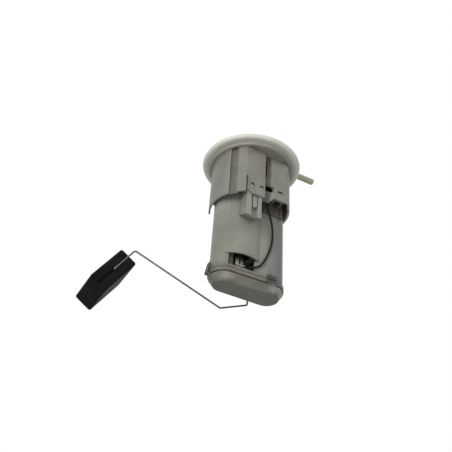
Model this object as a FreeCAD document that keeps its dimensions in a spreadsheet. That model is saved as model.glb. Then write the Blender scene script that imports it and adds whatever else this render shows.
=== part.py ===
import FreeCAD, Part
import math
import os
from types import SimpleNamespace

import Sketcher
from FreeCAD import Placement, Rotation, Vector

# In-tank fuel pump module, in millimetres.
# The origin is the centre of the flange rim's underside. +Z is up, out of the tank, and +X is
# along the canister's long axis, the way the outlet nipple points.

os.makedirs("parts", exist_ok=True)
doc = FreeCAD.newDocument("FuelPump")

drivingSizes = {
    # tank flange
    "rimWide": 9.2, "rimThick": 6.0, "rimRound": 2.9, "spigotGap": 0.2,
    "spigotWall": 3.0, "spigotDepth": 4.0, "spigotFillet": 1.5, "plateUnder": -1.5,
    "crownTop": 3.0, "crownInset": 2.8, "shoulderOutset": 1.2,
    # plug socket on the flange
    "socketX": -16.0, "socketY": 2.0, "socketLong": 30.0, "socketWide": 16.0,
    "socketHeight": 22.5, "socketWall": 2.0, "socketCorner": 3.0,
    "pinPitch": 5.6, "pinWide": 2.4, "pinThick": 0.8, "pinTop": 21.0, "pinBottom": -9.0,
    # outlet elbow and hose
    "nippleRadius": 3.945, "nippleHeight": 24.0, "nippleTip": 94.0, "nippleBore": 2.4,
    "nippleRound": 1.4, "beadRadius": 4.9, "beadStart": 61.0, "beadLong": 1.6,
    "elbowRadius": 5.2, "elbowBend": 8.0, "elbowLong": 8.0, "footRadius": 9.0,
    "footThick": 2.0, "barbRadius": 3.9, "barbBottom": -15.0, "hoseWall": 1.5,
    "hoseTop": -4.0, "sealThick": 1.6,
    # bracket skirt
    "skirtGap": 0.6, "skirtWall": 2.0, "skirtBottom": -71.0, "leftTabY": -39.5,
    "rightTabY": -36.0, "tabEdgeX": -2.0, "recessRight": 12.0, "recessDepth": 2.5,
    "recessFlank": 8.0, "holeLeft": 1.5,
    "recessBottom": -54.7, "recessTop": -46.5, "rightTabBottom": -64.0, "tabCornerX": -18.8, "tabCornerZ": -66.0,
    "barFootX": 7.0, "barEndZ": -63.5,
    "channelAngle": -143.3, "channelHalf": 4.4, "channelDepth": 2.4, "slotX": -25.5,
    "slotWide": 1.8, "slotTop": -48.0, "slitLeft": 0.2, "slitRight": 3.4, "slitBottom": -34.0,
    "slitTop": -10.0, "seamX": 29.6, "seamWide": 0.8, "seamBottom": -28.0, "seamTop": -15.0,
    "lugHalf": 4.0, "lugProud": 0.8, "lugBottom": -3.4, "lugTop": -2.4, "lugGap": 0.1,
    "backOpeningY": 22.3, "backOpeningTop": -43.0,
    # snap windows and catches
    "windowALeft": -20.8, "windowARight": -15.8, "windowABottom": -63.4, "windowATop": -55.8,
    "windowBLeft": -9.2, "windowBRight": -4.0, "windowBBottom": -60.6, "windowBTop": -55.8,
    "windowCLeft": 17.2, "windowCRight": 24.2, "windowCBottom": -55.6, "windowCTop": -49.8,
    "catchGap": 0.6, "catchDrop": 2.6, "catchProud": 1.6, "tabGap": 0.5,
    # canister plan
    "leftLobeX": -25.7, "leftLobeRadius": 17.0, "rightLobeX": 27.0, "rightLobeRadius": 18.0,
    "lobeY": 1.5, "bulgeX": -12.2, "bulgeRadius": 34.0, "caseWall": 1.8, "upperInset": 1.2,
    # canister levels
    "caseTop": -49.0, "upperStep": -61.0, "bulgeBottom": -142.0, "collarTop": -159.5,
    "caseBottom": -165.0, "collarProud": 1.2, "filterWall": 1.6, "filterFloor": -143.0,
    "filterFloorThick": 2.0, "shelfTop": -132.0, "shelfThick": 2.0, "shelfBore": 14.8,
    # fuel window
    "windowLeft": -30.3, "windowRight": 1.2, "windowSill": -155.5,
    "ribLeft": -28.2, "ribRight": -23.3, "ribFront": -12.0, "ribThick": 2.0,
    # front boss behind the left tab, and the head plate and arm behind the right tab
    "bossLeft": -23.6, "bossTop": -53.0,
    "bossFoot": -100.0, "bossHeel": -89.5, "bossRoot": -14.0, "pocketLeft": -17.2,
    "pocketRight": -9.0, "pocketDepth": 6.0, "tongueLeft": -15.1, "tongueRight": -10.0,
    "tongueBottom": -86.4, "tongueInset": 1.0, "tongueRound": 1.8,
    "armRight": 26.6, "armTop": -49.0, "armBottom": -63.0, "armThick": 1.8,
    "armRib": 1.8, "headLeft": 8.0, "headRight": 34.5, "headBottom": -73.0, "headFront": -18.7,
    "headRibLeft": 30.7, "headRibRight": 33.0, "headRibProud": 1.3,
    # bottom cap
    "capBottom": -175.0, "capProud": 0.5, "capFloor": 2.0, "capRound": 2.0, "capTaperIn": 5.5,
    "capTaperTall": 8.0, "capDeepInset": 7.5, "lipTop": -159.5,
    "lipThick": 1.4, "lipGap": 0.15, "leftLoopHalf": 3.2, "nearLoopHalf": 5.5, "loopArm": 1.1, "loopThick": 1.1,
    "loopTop": -151.0, "loopBar": 2.2, "loopStand": 0.3, "nearLoopTop": -155.0,
    "slotHigh": -159.0, "slotLow": -161.2, "loopRoot": -166.2, "slotCatch": 0.9,
    "catchTall": 8.0, "nearLoopX": 22.0, "loopLean": 3.5, "loopHook": -163.2, "farLoopX": -4.0, "guideAX": 19.0, "guideBX": 21.7, "guideTall": 12.0,
    "guideShort": 8.0, "guideBottom": -157.0, "guideWide": 0.9, "guideProud": 0.7,
    # case lid
    "lidThick": 2.5, "ductLeft": -25.5, "ductRight": 20.0, "ductY": 7.5, "ductHalf": 5.0,
    "ductTop": -39.0, "ductWall": 1.6, "lidNippleTop": -31.0, "filterPortX": 16.0,
    "filterPortRadius": 2.4,
    # pump
    "pumpX": -14.0, "pumpY": -1.6, "pumpRadius": 18.0, "pumpWall": 1.0, "pumpLip": 1.4,
    "pumpBottom": -130.0, "pumpTop": -73.4, "cushionThick": 2.0, "cushionLip": 6.0,
    "cushionWall": 0.5, "inletX": -22.0, "inletY": 2.0, "inletRadius": 4.5, "inletBore": 3.0,
    "inletBottom": -145.0, "coverTop": -125.6, "impellerThick": 3.8, "impellerRadius": 15.0,
    "impellerGap": 0.2, "chamberTop": -116.0, "shaftRadius": 1.5, "shaftGap": 0.03,
    "shaftBottom": -128.0, "shaftTop": -66.0, "bushRadius": 3.4, "bushThick": 4.5,
    "coreBottom": -109.0, "coreTop": -84.0, "coreRadius": 12.0, "windingThick": 3.2,
    "windingRadius": 10.6, "commTop": -76.0, "commRadius": 7.0, "magnetThick": 3.4,
    "magnetGap": 0.3, "magnetBottom": -112.0, "magnetTop": -81.0, "endCoverBottom": -76.0,
    "endCoverNeck": -63.0, "endCoverTop": -57.0, "endCoverRadius": 15.2, "brushLong": 8.0,
    "brushWide": 4.0, "brushThick": 3.0, "brushOffset": 5.2, "terminalWide": 2.2,
    "terminalThick": 0.8, "terminalTop": -46.0, "terminalSpread": 4.5, "terminalY": -9.5,
    "outletRadius": 4.0, "outletBore": 2.8, "outletX": -20.0, "outletTop": -46.6,
    "valveSeat": -57.0, "valveRadius": 2.3, "valveLong": 3.6, "valvePort": 1.4,
    "stopThick": 1.0, "checkWire": 0.6,
    # pressure regulator
    "regulatorRadius": 9.0, "regulatorTop": -144.0, "regulatorBottom": -154.5,
    "regulatorWall": 0.8, "regulatorNeck": 3.9, "regulatorBore": 2.2, "regulatorNeckGap": 0.3,
    "regulatorFit": 0.1, "socketRing": 1.6, "socketRingBottom": -149.0, "poppetRadius": 5.0,
    "poppetThick": 1.6, "poppetGap": 0.05, "regulatorSpring": 3.6, "reliefWire": 0.9, "sealRadius": 0.65,
    # filter
    "filterRadius": 13.6, "filterCore": 8.0, "pleatCount": 32, "pleatThick": 0.9,
    "filterBottom": -138.5, "filterTop": -55.0, "endPlateRadius": 14.6, "endPlateThick": 2.2,
    "plateBore": 5.0,
    # strainer
    "strainerInset": 5.0, "strainerTop": -157.0, "strainerBottom": -166.0, "neckWall": 1.4,
    "neckTop": -138.0, "strainerPlate": 1.6,
    # ground tab, clip and leads
    "groundX": -16.45, "groundY": -14.0, "groundWide": 2.9, "groundThick": 0.8,
    "groundBottom": -143.5, "clipProng": 2.3, "clipLeft": -21.6, "clipDeep": 1.8, "clipTop": -138.0,
    "clipBase": -144.5, "clipBottom": -154.0, "clipNotch": 1.6, "crimpRadius": 1.6,
    "crimpLong": 2.2, "crimpZ": -152.4, "leadRadius": 1.15, "thinLeadRadius": 0.7,
    "plugLong": 24.0, "plugWide": 13.0, "plugTop": -3.0, "plugBottom": -17.0, "plugGap": 0.1,
    # level sender
    "pivotX": 18.5, "pivotZ": -109.0, "padFace": 20.0, "padLeft": -0.5, "padRight": 37.5,
    "padBottom": -136.0, "padTop": -78.0, "housingLeft": 1.0, "housingRight": 36.0,
    "housingBottom": -134.0, "housingTop": -81.0, "housingThick": 1.8, "bossRadius": 5.0,
    "bossFace": 24.1, "pivotGap": 0.05, "cardLeft": 6.0, "cardRight": 31.0,
    "cardBottom": -102.0, "cardTop": -86.0, "cardThick": 0.8, "cardRim": 1.4,
    "hubRadius": 7.5, "hubFace": 24.3, "hubBack": 30.4, "legHalf": 3.4, "legBottom": -133.0,
    "bridgeTall": 3.0, "bridgeHigh": -116.0, "bridgeLow": -127.0, "wiperThick": 0.6,
    "wiperHalf": 2.4, "wiperInner": 5.6, "wiperOuter": 21.0, "wiperSlot": 1.0,
    "wiperTilt": 27.5, "wireRadius": 1.0, "wireGap": 0.02, "armY": 28.0,
    # float arm and float
    "kneeLowZ": -171.2, "elbowX": -15.1, "elbowZ": -185.2, "shoulderX": -120.3,
    "shoulderZ": -148.9, "floatX": -138.9, "floatZ": -178.4, "floatLong": 49.5,
    "floatThick": 22.0, "floatDeep": 54.0, "floatFace": 27.4, "floatTilt": 57.0,
    "floatRound": 2.4, "grooveWide": 3.0, "grooveDeep": 2.2, "wireBend": 3.2,
    "wireEnd": 84.2, "clipRadius": 4.0, "clipThick": 0.7,
}

sheet = doc.addObject("Spreadsheet::Sheet", "sizes")
for row, (name, value) in enumerate(drivingSizes.items(), start=1):
    sheet.set(f"A{row}", name)
    sheet.set(f"B{row}", str(value))
    sheet.setAlias(f"B{row}", name)
doc.recompute()


class Size:
    """A length or an angle: its number, and the sheet formula that gives it."""

    def __init__(self, number, formula=None):
        self.number = float(number)
        self.formula = formula or f"({self.number:.6g})"

    def __add__(self, other):
        other = asSize(other)
        return Size(self.number + other.number, f"({self.formula} + {other.formula})")

    def __sub__(self, other):
        other = asSize(other)
        return Size(self.number - other.number, f"({self.formula} - {other.formula})")

    def __mul__(self, other):
        other = asSize(other)
        return Size(self.number * other.number, f"({self.formula} * {other.formula})")

    def __truediv__(self, other):
        other = asSize(other)
        return Size(self.number / other.number, f"({self.formula} / {other.formula})")

    def __neg__(self):
        return Size(-self.number, f"(0 - {self.formula})")


def asSize(thing):
    return thing if isinstance(thing, Size) else Size(thing)


def cosine(angle):
    return Size(math.cos(math.radians(angle.number)), f"cos({angle.formula})")


def sine(angle):
    return Size(math.sin(math.radians(angle.number)), f"sin({angle.formula})")


s = SimpleNamespace(**{name: Size(sheet.get(name), f"sizes.{name}") for name in drivingSizes})
s.skirtRadius = s.rightLobeX + s.rightLobeRadius + s.skirtGap + s.skirtWall
s.spigotRadius = s.skirtRadius + s.spigotGap + s.spigotWall
s.flangeRadius = s.spigotRadius + s.rimWide
s.bossRight = s.tabEdgeX - s.skirtWall - s.catchGap / 2
s.armLeft = s.recessRight + s.skirtWall + s.tabGap
s.regulatorNeckTop = s.filterBottom - s.endPlateThick - s.regulatorNeckGap
nodes = {}
beyond = 1.0      # how far a cutting tool runs past the face that it opens


def bind(thing, prop, size):
    thing.setExpression(prop, asSize(size).formula)


def place(thing, x, y, z):
    for axis, size in zip("xyz", (x, y, z)):
        bind(thing, f"Placement.Base.{axis}", size)


def keep(label, thing):
    """Name a finished sub-part."""
    thing.Label = label
    nodes[label] = thing
    return thing


# Primitives and booleans


def block(name, xs, ys, zs):
    """A box between two places along each axis."""
    thing = doc.addObject("Part::Box", name)
    for prop, (low, high) in zip(("Length", "Width", "Height"), (xs, ys, zs)):
        bind(thing, prop, asSize(high) - low)
    place(thing, xs[0], ys[0], zs[0])
    return thing


def rod(name, radius, x, y, z, length, axis="z"):
    """A cylinder that starts at a point and runs along an axis."""
    thing = doc.addObject("Part::Cylinder", name)
    bind(thing, "Radius", radius)
    bind(thing, "Height", length)
    turns = {"z": Rotation(), "x": Rotation(Vector(0, 1, 0), 90), "y": Rotation(Vector(1, 0, 0), -90)}
    thing.Placement = Placement(Vector(), turns[axis])
    place(thing, x, y, z)
    return thing


def spoke(name, angle, inner, outer, half, bottom, top):
    """A box that lies along a radius, at an angle from +X."""
    thing = doc.addObject("Part::Box", name)
    bind(thing, "Length", asSize(outer) - inner)
    bind(thing, "Width", half * 2)
    bind(thing, "Height", asSize(top) - bottom)
    thing.Placement = Placement(Vector(), Rotation(Vector(0, 0, 1), angle.number))
    bind(thing, "Placement.Rotation.Angle", angle)
    place(thing, cosine(angle) * inner + sine(angle) * half,
          sine(angle) * inner - cosine(angle) * half, bottom)
    return thing


def less(name, base, *tools):
    for step, tool in enumerate(tools):
        cut = doc.addObject("Part::Cut", f"{name}_cut{step}")
        cut.Base, cut.Tool, cut.Refine = base, tool, True
        base = cut
    return base


def joined(name, *pieces):
    fuse = doc.addObject("Part::MultiFuse", name)
    fuse.Shapes, fuse.Refine = list(pieces), True
    return fuse


def shared(name, base, tool):
    common = doc.addObject("Part::Common", name)
    common.Base, common.Tool = base, tool
    return common


def together(name, *pieces):
    """Several separate solids in one node."""
    group = doc.addObject("Part::Compound", name)
    group.Links = list(pieces)
    return group


def tube(name, outer, inner, x, y, bottom, top):
    length = asSize(top) - bottom
    return less(name, rod(f"{name}_outside", outer, x, y, bottom, length),
                rod(f"{name}_bore", inner, x, y, bottom, length))


# Sketched bodies


def newBody(name):
    return doc.addObject("PartDesign::Body", name)


def sketchOn(body, role, name, lift=None):
    sketch = body.newObject("Sketcher::SketchObject", name)
    plane = [feature for feature in body.Origin.OriginFeatures if feature.Role == role][0]
    sketch.AttachmentSupport = [(plane, "")]
    sketch.MapMode = "FlatFace"
    if lift is not None:
        bind(sketch, "AttachmentOffset.Base.z", lift)
    return sketch


def fixed(sketch, kind, size, *where):
    """A dimension of a sketch that is bound to the sheet."""
    index = sketch.addConstraint(Sketcher.Constraint(kind, *where, size.number))
    bind(sketch, f"Constraints[{index}]", size)


def drawPolygon(sketch, points):
    points = [(asSize(x), asSize(y)) for x, y in points]
    first = sketch.GeometryCount
    count = len(points)
    ends = [Vector(x.number, y.number, 0) for x, y in points]
    for step in range(count):
        sketch.addGeometry(Part.LineSegment(ends[step], ends[(step + 1) % count]), False)
    for step, (x, y) in enumerate(points):
        line = first + step
        following = first + (step + 1) % count
        sketch.addConstraint(Sketcher.Constraint("Coincident", line, 2, following, 1))
        for kind, size, ruler in (("DistanceX", x, -2), ("DistanceY", y, -1)):
            if size.number == 0:
                sketch.addConstraint(Sketcher.Constraint("PointOnObject", line, 1, ruler))
            else:
                fixed(sketch, kind, size, -1, 1, line, 1)


def drawBox(sketch, x0, x1, y0, y1):
    drawPolygon(sketch, [(x0, y0), (x1, y0), (x1, y1), (x0, y1)])


def drawCircle(sketch, x, y, radius):
    x, y = asSize(x), asSize(y)
    centre = Vector(x.number, y.number, 0)
    circle = sketch.addGeometry(Part.Circle(centre, Vector(0, 0, 1), radius.number), False)
    fixed(sketch, "Radius", radius, circle)
    for kind, size, ruler in (("DistanceX", x, -2), ("DistanceY", y, -1)):
        if size.number == 0:
            sketch.addConstraint(Sketcher.Constraint("PointOnObject", circle, 3, ruler))
        else:
            fixed(sketch, kind, size, -1, 1, circle, 3)


def padded(body, sketch, length, name):
    pad = body.newObject("PartDesign::Pad", name)
    pad.Profile = sketch
    bind(pad, "Length", length)
    sketch.Visibility = False
    return pad


def pocketed(body, sketch, depth, name):
    """A pocket that goes down from its sketch."""
    pocket = body.newObject("PartDesign::Pocket", name)
    pocket.Profile = sketch
    bind(pocket, "Length", depth)
    sketch.Visibility = False
    return pocket


def softened(body, base, radius, name, wanted):
    """Fillet the edges of a feature that a test picks out."""
    doc.recompute()
    picked = [f"Edge{number}" for number, edge in enumerate(base.Shape.Edges, start=1) if wanted(edge)]
    fillet = body.newObject("PartDesign::Fillet", name)
    fillet.Base = (base, picked)
    bind(fillet, "Radius", radius)
    return fillet


def tapered(body, base, inset, tall, name, wanted):
    """Chamfer the edges that a test picks out, by an inset on the flat and a height on the side."""
    doc.recompute()
    picked = [f"Edge{number}" for number, edge in enumerate(base.Shape.Edges, start=1) if wanted(edge)]
    chamfer = body.newObject("PartDesign::Chamfer", name)
    chamfer.Base = (base, picked)
    chamfer.ChamferType = "Two distances"
    bind(chamfer, "Size", tall)
    bind(chamfer, "Size2", inset)
    return chamfer


def ringAt(radius, height):
    """A test for a round edge about Z with a radius and a height."""
    def wanted(edge):
        curve = edge.Curve
        return (isinstance(curve, Part.Circle) and abs(curve.Radius - radius.number) < 0.01
                and abs(curve.Center.z - height.number) < 0.01)
    return wanted


def lyingAt(height):
    """A test for an edge that lies level at a height."""
    def wanted(edge):
        box = edge.BoundBox
        return abs(box.ZMin - height.number) < 0.01 and abs(box.ZMax - height.number) < 0.01
    return wanted


def turned(name, outline, x=0, y=0):
    """A body of revolution about Z, from points of radius and height."""
    body = newBody(name)
    sketch = sketchOn(body, "XZ_Plane", f"{name}_outline")
    drawPolygon(sketch, outline)
    turn = body.newObject("PartDesign::Revolution", f"{name}_turn")
    turn.Profile = sketch
    turn.ReferenceAxis = (sketch, ["V_Axis"])
    turn.Angle = 360
    sketch.Visibility = False
    place(body, x, y, 0)
    return body


def lobed(name, inset, bottom, top, bulge):
    """The canister's plan, two lobes with or without the pump's bulge in front, as a pad."""
    inset = asSize(inset)
    left, right = s.leftLobeRadius - inset, s.rightLobeRadius - inset
    span = s.rightLobeX.number - s.leftLobeX.number
    lean = math.asin((right.number - left.number) / span)
    middleLeft = Vector(s.leftLobeX.number, s.lobeY.number, 0)
    middleRight = Vector(s.rightLobeX.number, s.lobeY.number, 0)
    body = newBody(name)
    sketch = sketchOn(body, "XY_Plane", f"{name}_plan", bottom)
    far = math.pi / 2 + lean
    up = Vector(0, 0, 1)

    def arc(middle, radius, start, end):
        circle = Part.Circle(middle, up, radius.number)
        return sketch.addGeometry(Part.ArcOfCircle(circle, start, end), False)

    def line(start, end):
        return sketch.addGeometry(Part.LineSegment(start, end), False)

    def onCircle(middle, radius, angle):
        return middle + Vector(math.cos(angle), math.sin(angle), 0) * radius.number

    tangents = []
    if bulge:
        radius = s.bulgeRadius - inset
        reach = s.bulgeRadius.number - s.leftLobeRadius.number
        across = s.bulgeX.number - s.leftLobeX.number
        middle = Vector(s.bulgeX.number, s.lobeY.number + math.sqrt(reach ** 2 - across ** 2), 0)
        touch = math.atan2(middleLeft.y - middle.y, middleLeft.x - middle.x) + 2 * math.pi
        wallY = s.lobeY.number - right.number
        crease = math.asin((wallY - middle.y) / radius.number) + 2 * math.pi
        leftArc = arc(middleLeft, left, far, touch)
        bulgeArc = arc(middle, radius, touch, crease)
        nearLine = line(onCircle(middle, radius, crease), Vector(middleRight.x, wallY, 0))
        rightArc = arc(middleRight, right, -math.pi / 2, far)
        sketch.addConstraint(Sketcher.Constraint("Coincident", bulgeArc, 2, nearLine, 1))
        sketch.addConstraint(Sketcher.Constraint("Horizontal", nearLine))
        fixed(sketch, "Radius", radius, bulgeArc)
        fixed(sketch, "DistanceX", s.bulgeX, -1, 1, bulgeArc, 3)
        tangents = [(leftArc, 2, bulgeArc, 1), (nearLine, 2, rightArc, 1)]
    else:
        leftArc = arc(middleLeft, left, far, 2 * math.pi - far)
        nearLine = line(onCircle(middleLeft, left, -far), onCircle(middleRight, right, -far))
        rightArc = arc(middleRight, right, -far, far)
        tangents = [(leftArc, 2, nearLine, 1), (nearLine, 2, rightArc, 1)]
    farLine = line(onCircle(middleRight, right, far), onCircle(middleLeft, left, far))
    tangents += [(rightArc, 2, farLine, 1), (farLine, 2, leftArc, 1)]
    for ends in tangents:
        sketch.addConstraint(Sketcher.Constraint("Tangent", *ends))
    for lobe, radius, x in ((leftArc, left, s.leftLobeX), (rightArc, right, s.rightLobeX)):
        fixed(sketch, "Radius", radius, lobe)
        fixed(sketch, "DistanceX", x, -1, 1, lobe, 3)
        fixed(sketch, "DistanceY", s.lobeY, -1, 1, lobe, 3)
    padded(body, sketch, asSize(top) - bottom, f"{name}_pad")
    return body


# Shapes that a formula or a route gives


def freeShape(label, shape):
    thing = doc.addObject("Part::Feature", label)
    thing.Shape = shape
    return thing


def bentTube(points, radius, bend=None):
    """A tube along straight runs joined by tangent arcs."""
    points = [Vector(*[asSize(value).number for value in point]) for point in points]
    edges, radii, start = [], [], points[0]
    for before, corner, after in zip(points, points[1:], points[2:]):
        back, ahead = (before - corner), (after - corner)
        shorter = min(back.Length, ahead.Length)
        back.normalize()
        ahead.normalize()
        halfTurn = (math.pi - back.getAngle(ahead)) / 2
        reach = 0.45 * shorter if bend is None else bend.number * math.tan(halfTurn)
        arcRadius = reach / math.tan(halfTurn)
        into, out = corner + back * reach, corner + ahead * reach
        towards = (back + ahead).normalize()
        middle = corner + towards * (arcRadius / math.cos(halfTurn) - arcRadius)
        edges += [Part.LineSegment(start, into).toShape(), Part.Arc(into, middle, out).toShape()]
        radii.append(round(arcRadius, 1))
        start = out
    edges.append(Part.LineSegment(start, points[-1]).toShape())
    path = Part.Wire(edges)
    heading = points[1] - points[0]
    ring = Part.Wire([Part.Circle(points[0], heading, radius.number).toShape()])
    solid = path.makePipeShell([ring], True, False)
    wanted = math.pi * radius.number ** 2 * path.Length
    print("tube radii", radii, "length", round(path.Length, 1), "volume ratio", round(solid.Volume / wanted, 4))
    return solid


def coil(x, y, bottom, top, radius, wire, turns):
    """A helical spring between two heights, with an eight-sided wire."""
    low, high = bottom.number + wire.number, top.number - wire.number
    helix = Part.makeHelix((high - low) / turns, high - low, radius.number)
    start = Vector(radius.number, 0, 0)
    reach = wire.number / 2
    corners = [start + Vector(math.cos(math.pi * step / 4), 0, math.sin(math.pi * step / 4)) * reach
               for step in range(8)]
    ring = Part.makePolygon(corners + corners[:1])
    solid = Part.Wire(helix.Edges).makePipeShell([ring], True, True)
    solid.translate(Vector(asSize(x).number, asSize(y).number, low))
    return solid


# Tank flange with its plug socket, pins, outlet elbow and seal


def plugPins(name, grow, bottom, top):
    """The row of flat pins, or the slots that they stand in."""
    pins = []
    for number in range(4):
        middle = s.socketX + s.pinPitch * (number - 1.5)
        wide, thick = s.pinWide / 2 + grow, s.pinThick / 2 + grow
        pins.append(block(f"{name}{number}", (middle - wide, middle + wide),
                          (s.socketY - thick, s.socketY + thick), (bottom, top)))
    return pins


def skirtLugs(name, grow):
    lugs = []
    for number, angle in enumerate((96.0, 205.0, 336.0)):
        lugs.append(spoke(f"{name}{number}", Size(angle), s.skirtRadius - s.skirtWall / 2,
                          s.skirtRadius + s.lugProud + grow, s.lugHalf + grow,
                          s.lugBottom - grow, s.lugTop + grow))
    return lugs


def tankFlange():
    body = newBody("flange_body")
    spigotInside = s.spigotRadius - s.spigotWall
    spigotEnd = -s.spigotDepth
    sketch = sketchOn(body, "XZ_Plane", "flange_outline")
    drawPolygon(sketch, [
        (0, s.plateUnder), (spigotInside, s.plateUnder), (spigotInside, spigotEnd),
        (s.spigotRadius, spigotEnd), (s.spigotRadius, 0), (s.flangeRadius, 0),
        (s.flangeRadius, s.rimThick), (s.spigotRadius + s.shoulderOutset, s.rimThick),
        (s.spigotRadius - s.crownInset, s.crownTop), (0, s.crownTop)])
    turn = body.newObject("PartDesign::Revolution", "flange_turn")
    turn.Profile, turn.ReferenceAxis, turn.Angle = sketch, (sketch, ["V_Axis"]), 360
    rim = softened(body, turn, s.rimRound, "rim_round", lambda edge: (
        ringAt(s.flangeRadius, Size(0))(edge) or ringAt(s.flangeRadius, s.rimThick)(edge)))
    root = softened(body, rim, s.spigotFillet, "spigot_root", ringAt(s.spigotRadius, Size(0)))
    halfLong, halfWide = s.socketLong / 2, s.socketWide / 2
    socketTop = s.crownTop + s.socketHeight
    outside = sketchOn(body, "XY_Plane", "socket_outside", s.plateUnder)
    drawBox(outside, s.socketX - halfLong, s.socketX + halfLong,
            s.socketY - halfWide, s.socketY + halfWide)
    shell = padded(body, outside, socketTop - s.plateUnder, "socket_shell")
    corners = softened(body, shell, s.socketCorner, "socket_corners", lambda edge: (
        abs(edge.BoundBox.ZMax - socketTop.number) < 0.01
        and edge.BoundBox.ZMax - edge.BoundBox.ZMin > s.socketHeight.number / 2))
    body.Tip = corners
    inside = sketchOn(body, "XY_Plane", "socket_inside", socketTop)
    drawBox(inside, s.socketX - halfLong + s.socketWall, s.socketX + halfLong - s.socketWall,
            s.socketY - halfWide + s.socketWall, s.socketY + halfWide - s.socketWall)
    pocketed(body, inside, s.socketHeight, "socket_cavity")
    stem = rod("flange_stem_hole", s.elbowRadius, s.rightLobeX, s.lobeY, s.plateUnder - beyond,
               s.crownTop - s.plateUnder + beyond * 2)
    pins = plugPins("flange_pin_slot", 0, s.plateUnder - beyond, s.crownTop + beyond)
    cut = less("tank_flange", body, stem, *pins, *skirtLugs("flange_lug_pocket", s.lugGap))
    keep("tank_flange", cut)
    keep("connector_pins", together("connector_pins", *plugPins("pin", 0, s.pinBottom, s.pinTop)))


def outletElbow():
    """Foot, bend and hose nipple, welded on the flange over the filter."""
    x, y, bend = s.rightLobeX, s.lobeY, s.elbowBend
    bendStart = s.nippleHeight - bend
    armEnd = x + bend + s.elbowLong

    def quarterRing(name, radius):
        ring = doc.addObject("Part::Torus", name)
        bind(ring, "Radius1", bend)
        bind(ring, "Radius2", radius)
        ring.Angle3 = 90
        turn = Rotation(Vector(1, 0, 0), 90) * Rotation(Vector(0, 0, 1), 90)
        ring.Placement = Placement(Vector(), turn)
        place(ring, x + bend, y, bendStart)
        return ring

    foot = rod("elbow_foot", s.footRadius, x, y, s.crownTop, s.footThick)
    stem = rod("elbow_stem", s.elbowRadius, x, y, s.plateUnder, bendStart - s.plateUnder)
    barb = rod("elbow_barb", s.barbRadius, x, y, s.barbBottom, s.plateUnder - s.barbBottom)
    arm = rod("elbow_arm", s.elbowRadius, x + bend, y, s.nippleHeight, s.elbowLong, "x")
    nipple = newBody("nipple")
    profile = sketchOn(nipple, "XZ_Plane", "nipple_outline")
    drawPolygon(profile, [
        (0, armEnd - beyond), (s.nippleRadius, armEnd - beyond), (s.nippleRadius, s.beadStart),
        (s.beadRadius, s.beadStart), (s.beadRadius, s.beadStart + s.beadLong),
        (s.nippleRadius, s.beadStart + s.beadLong), (s.nippleRadius, s.nippleTip),
        (0, s.nippleTip)])
    turn = nipple.newObject("PartDesign::Revolution", "nipple_turn")
    turn.Profile, turn.ReferenceAxis, turn.Angle = profile, (profile, ["V_Axis"]), 360
    softened(nipple, turn, s.nippleRound, "nipple_round", ringAt(s.nippleRadius, s.nippleTip))
    nipple.Placement = Placement(Vector(), Rotation(Vector(0, 1, 0), 90))
    place(nipple, 0, y, s.nippleHeight)
    solid = joined("elbow_solid", foot, stem, barb, quarterRing("elbow_bend", s.elbowRadius), arm, nipple)
    down = rod("elbow_down_bore", s.nippleBore, x, y, s.barbBottom - beyond,
               bendStart - s.barbBottom + beyond)
    along = rod("elbow_along_bore", s.nippleBore, x + bend, y, s.nippleHeight,
                s.nippleTip - x - bend + beyond, "x")
    keep("outlet_elbow", less("outlet_elbow", solid, down, quarterRing("elbow_bend_bore", s.nippleBore),
                              along))
    keep("outlet_hose", tube("outlet_hose", s.barbRadius + s.hoseWall, s.barbRadius, x, y,
                             s.caseTop + s.lidThick + s.hoseWall, s.hoseTop))
    seal = turned("outlet_seal", [
        (s.barbRadius, s.hoseTop), (s.barbRadius + s.hoseWall, s.hoseTop),
        (s.barbRadius + s.hoseWall, s.hoseTop + s.sealThick),
        (s.barbRadius, s.hoseTop + s.sealThick)], x, y)
    keep("outlet_seal", seal)


# Bracket skirt: a round wall with a stepped flat front


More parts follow.
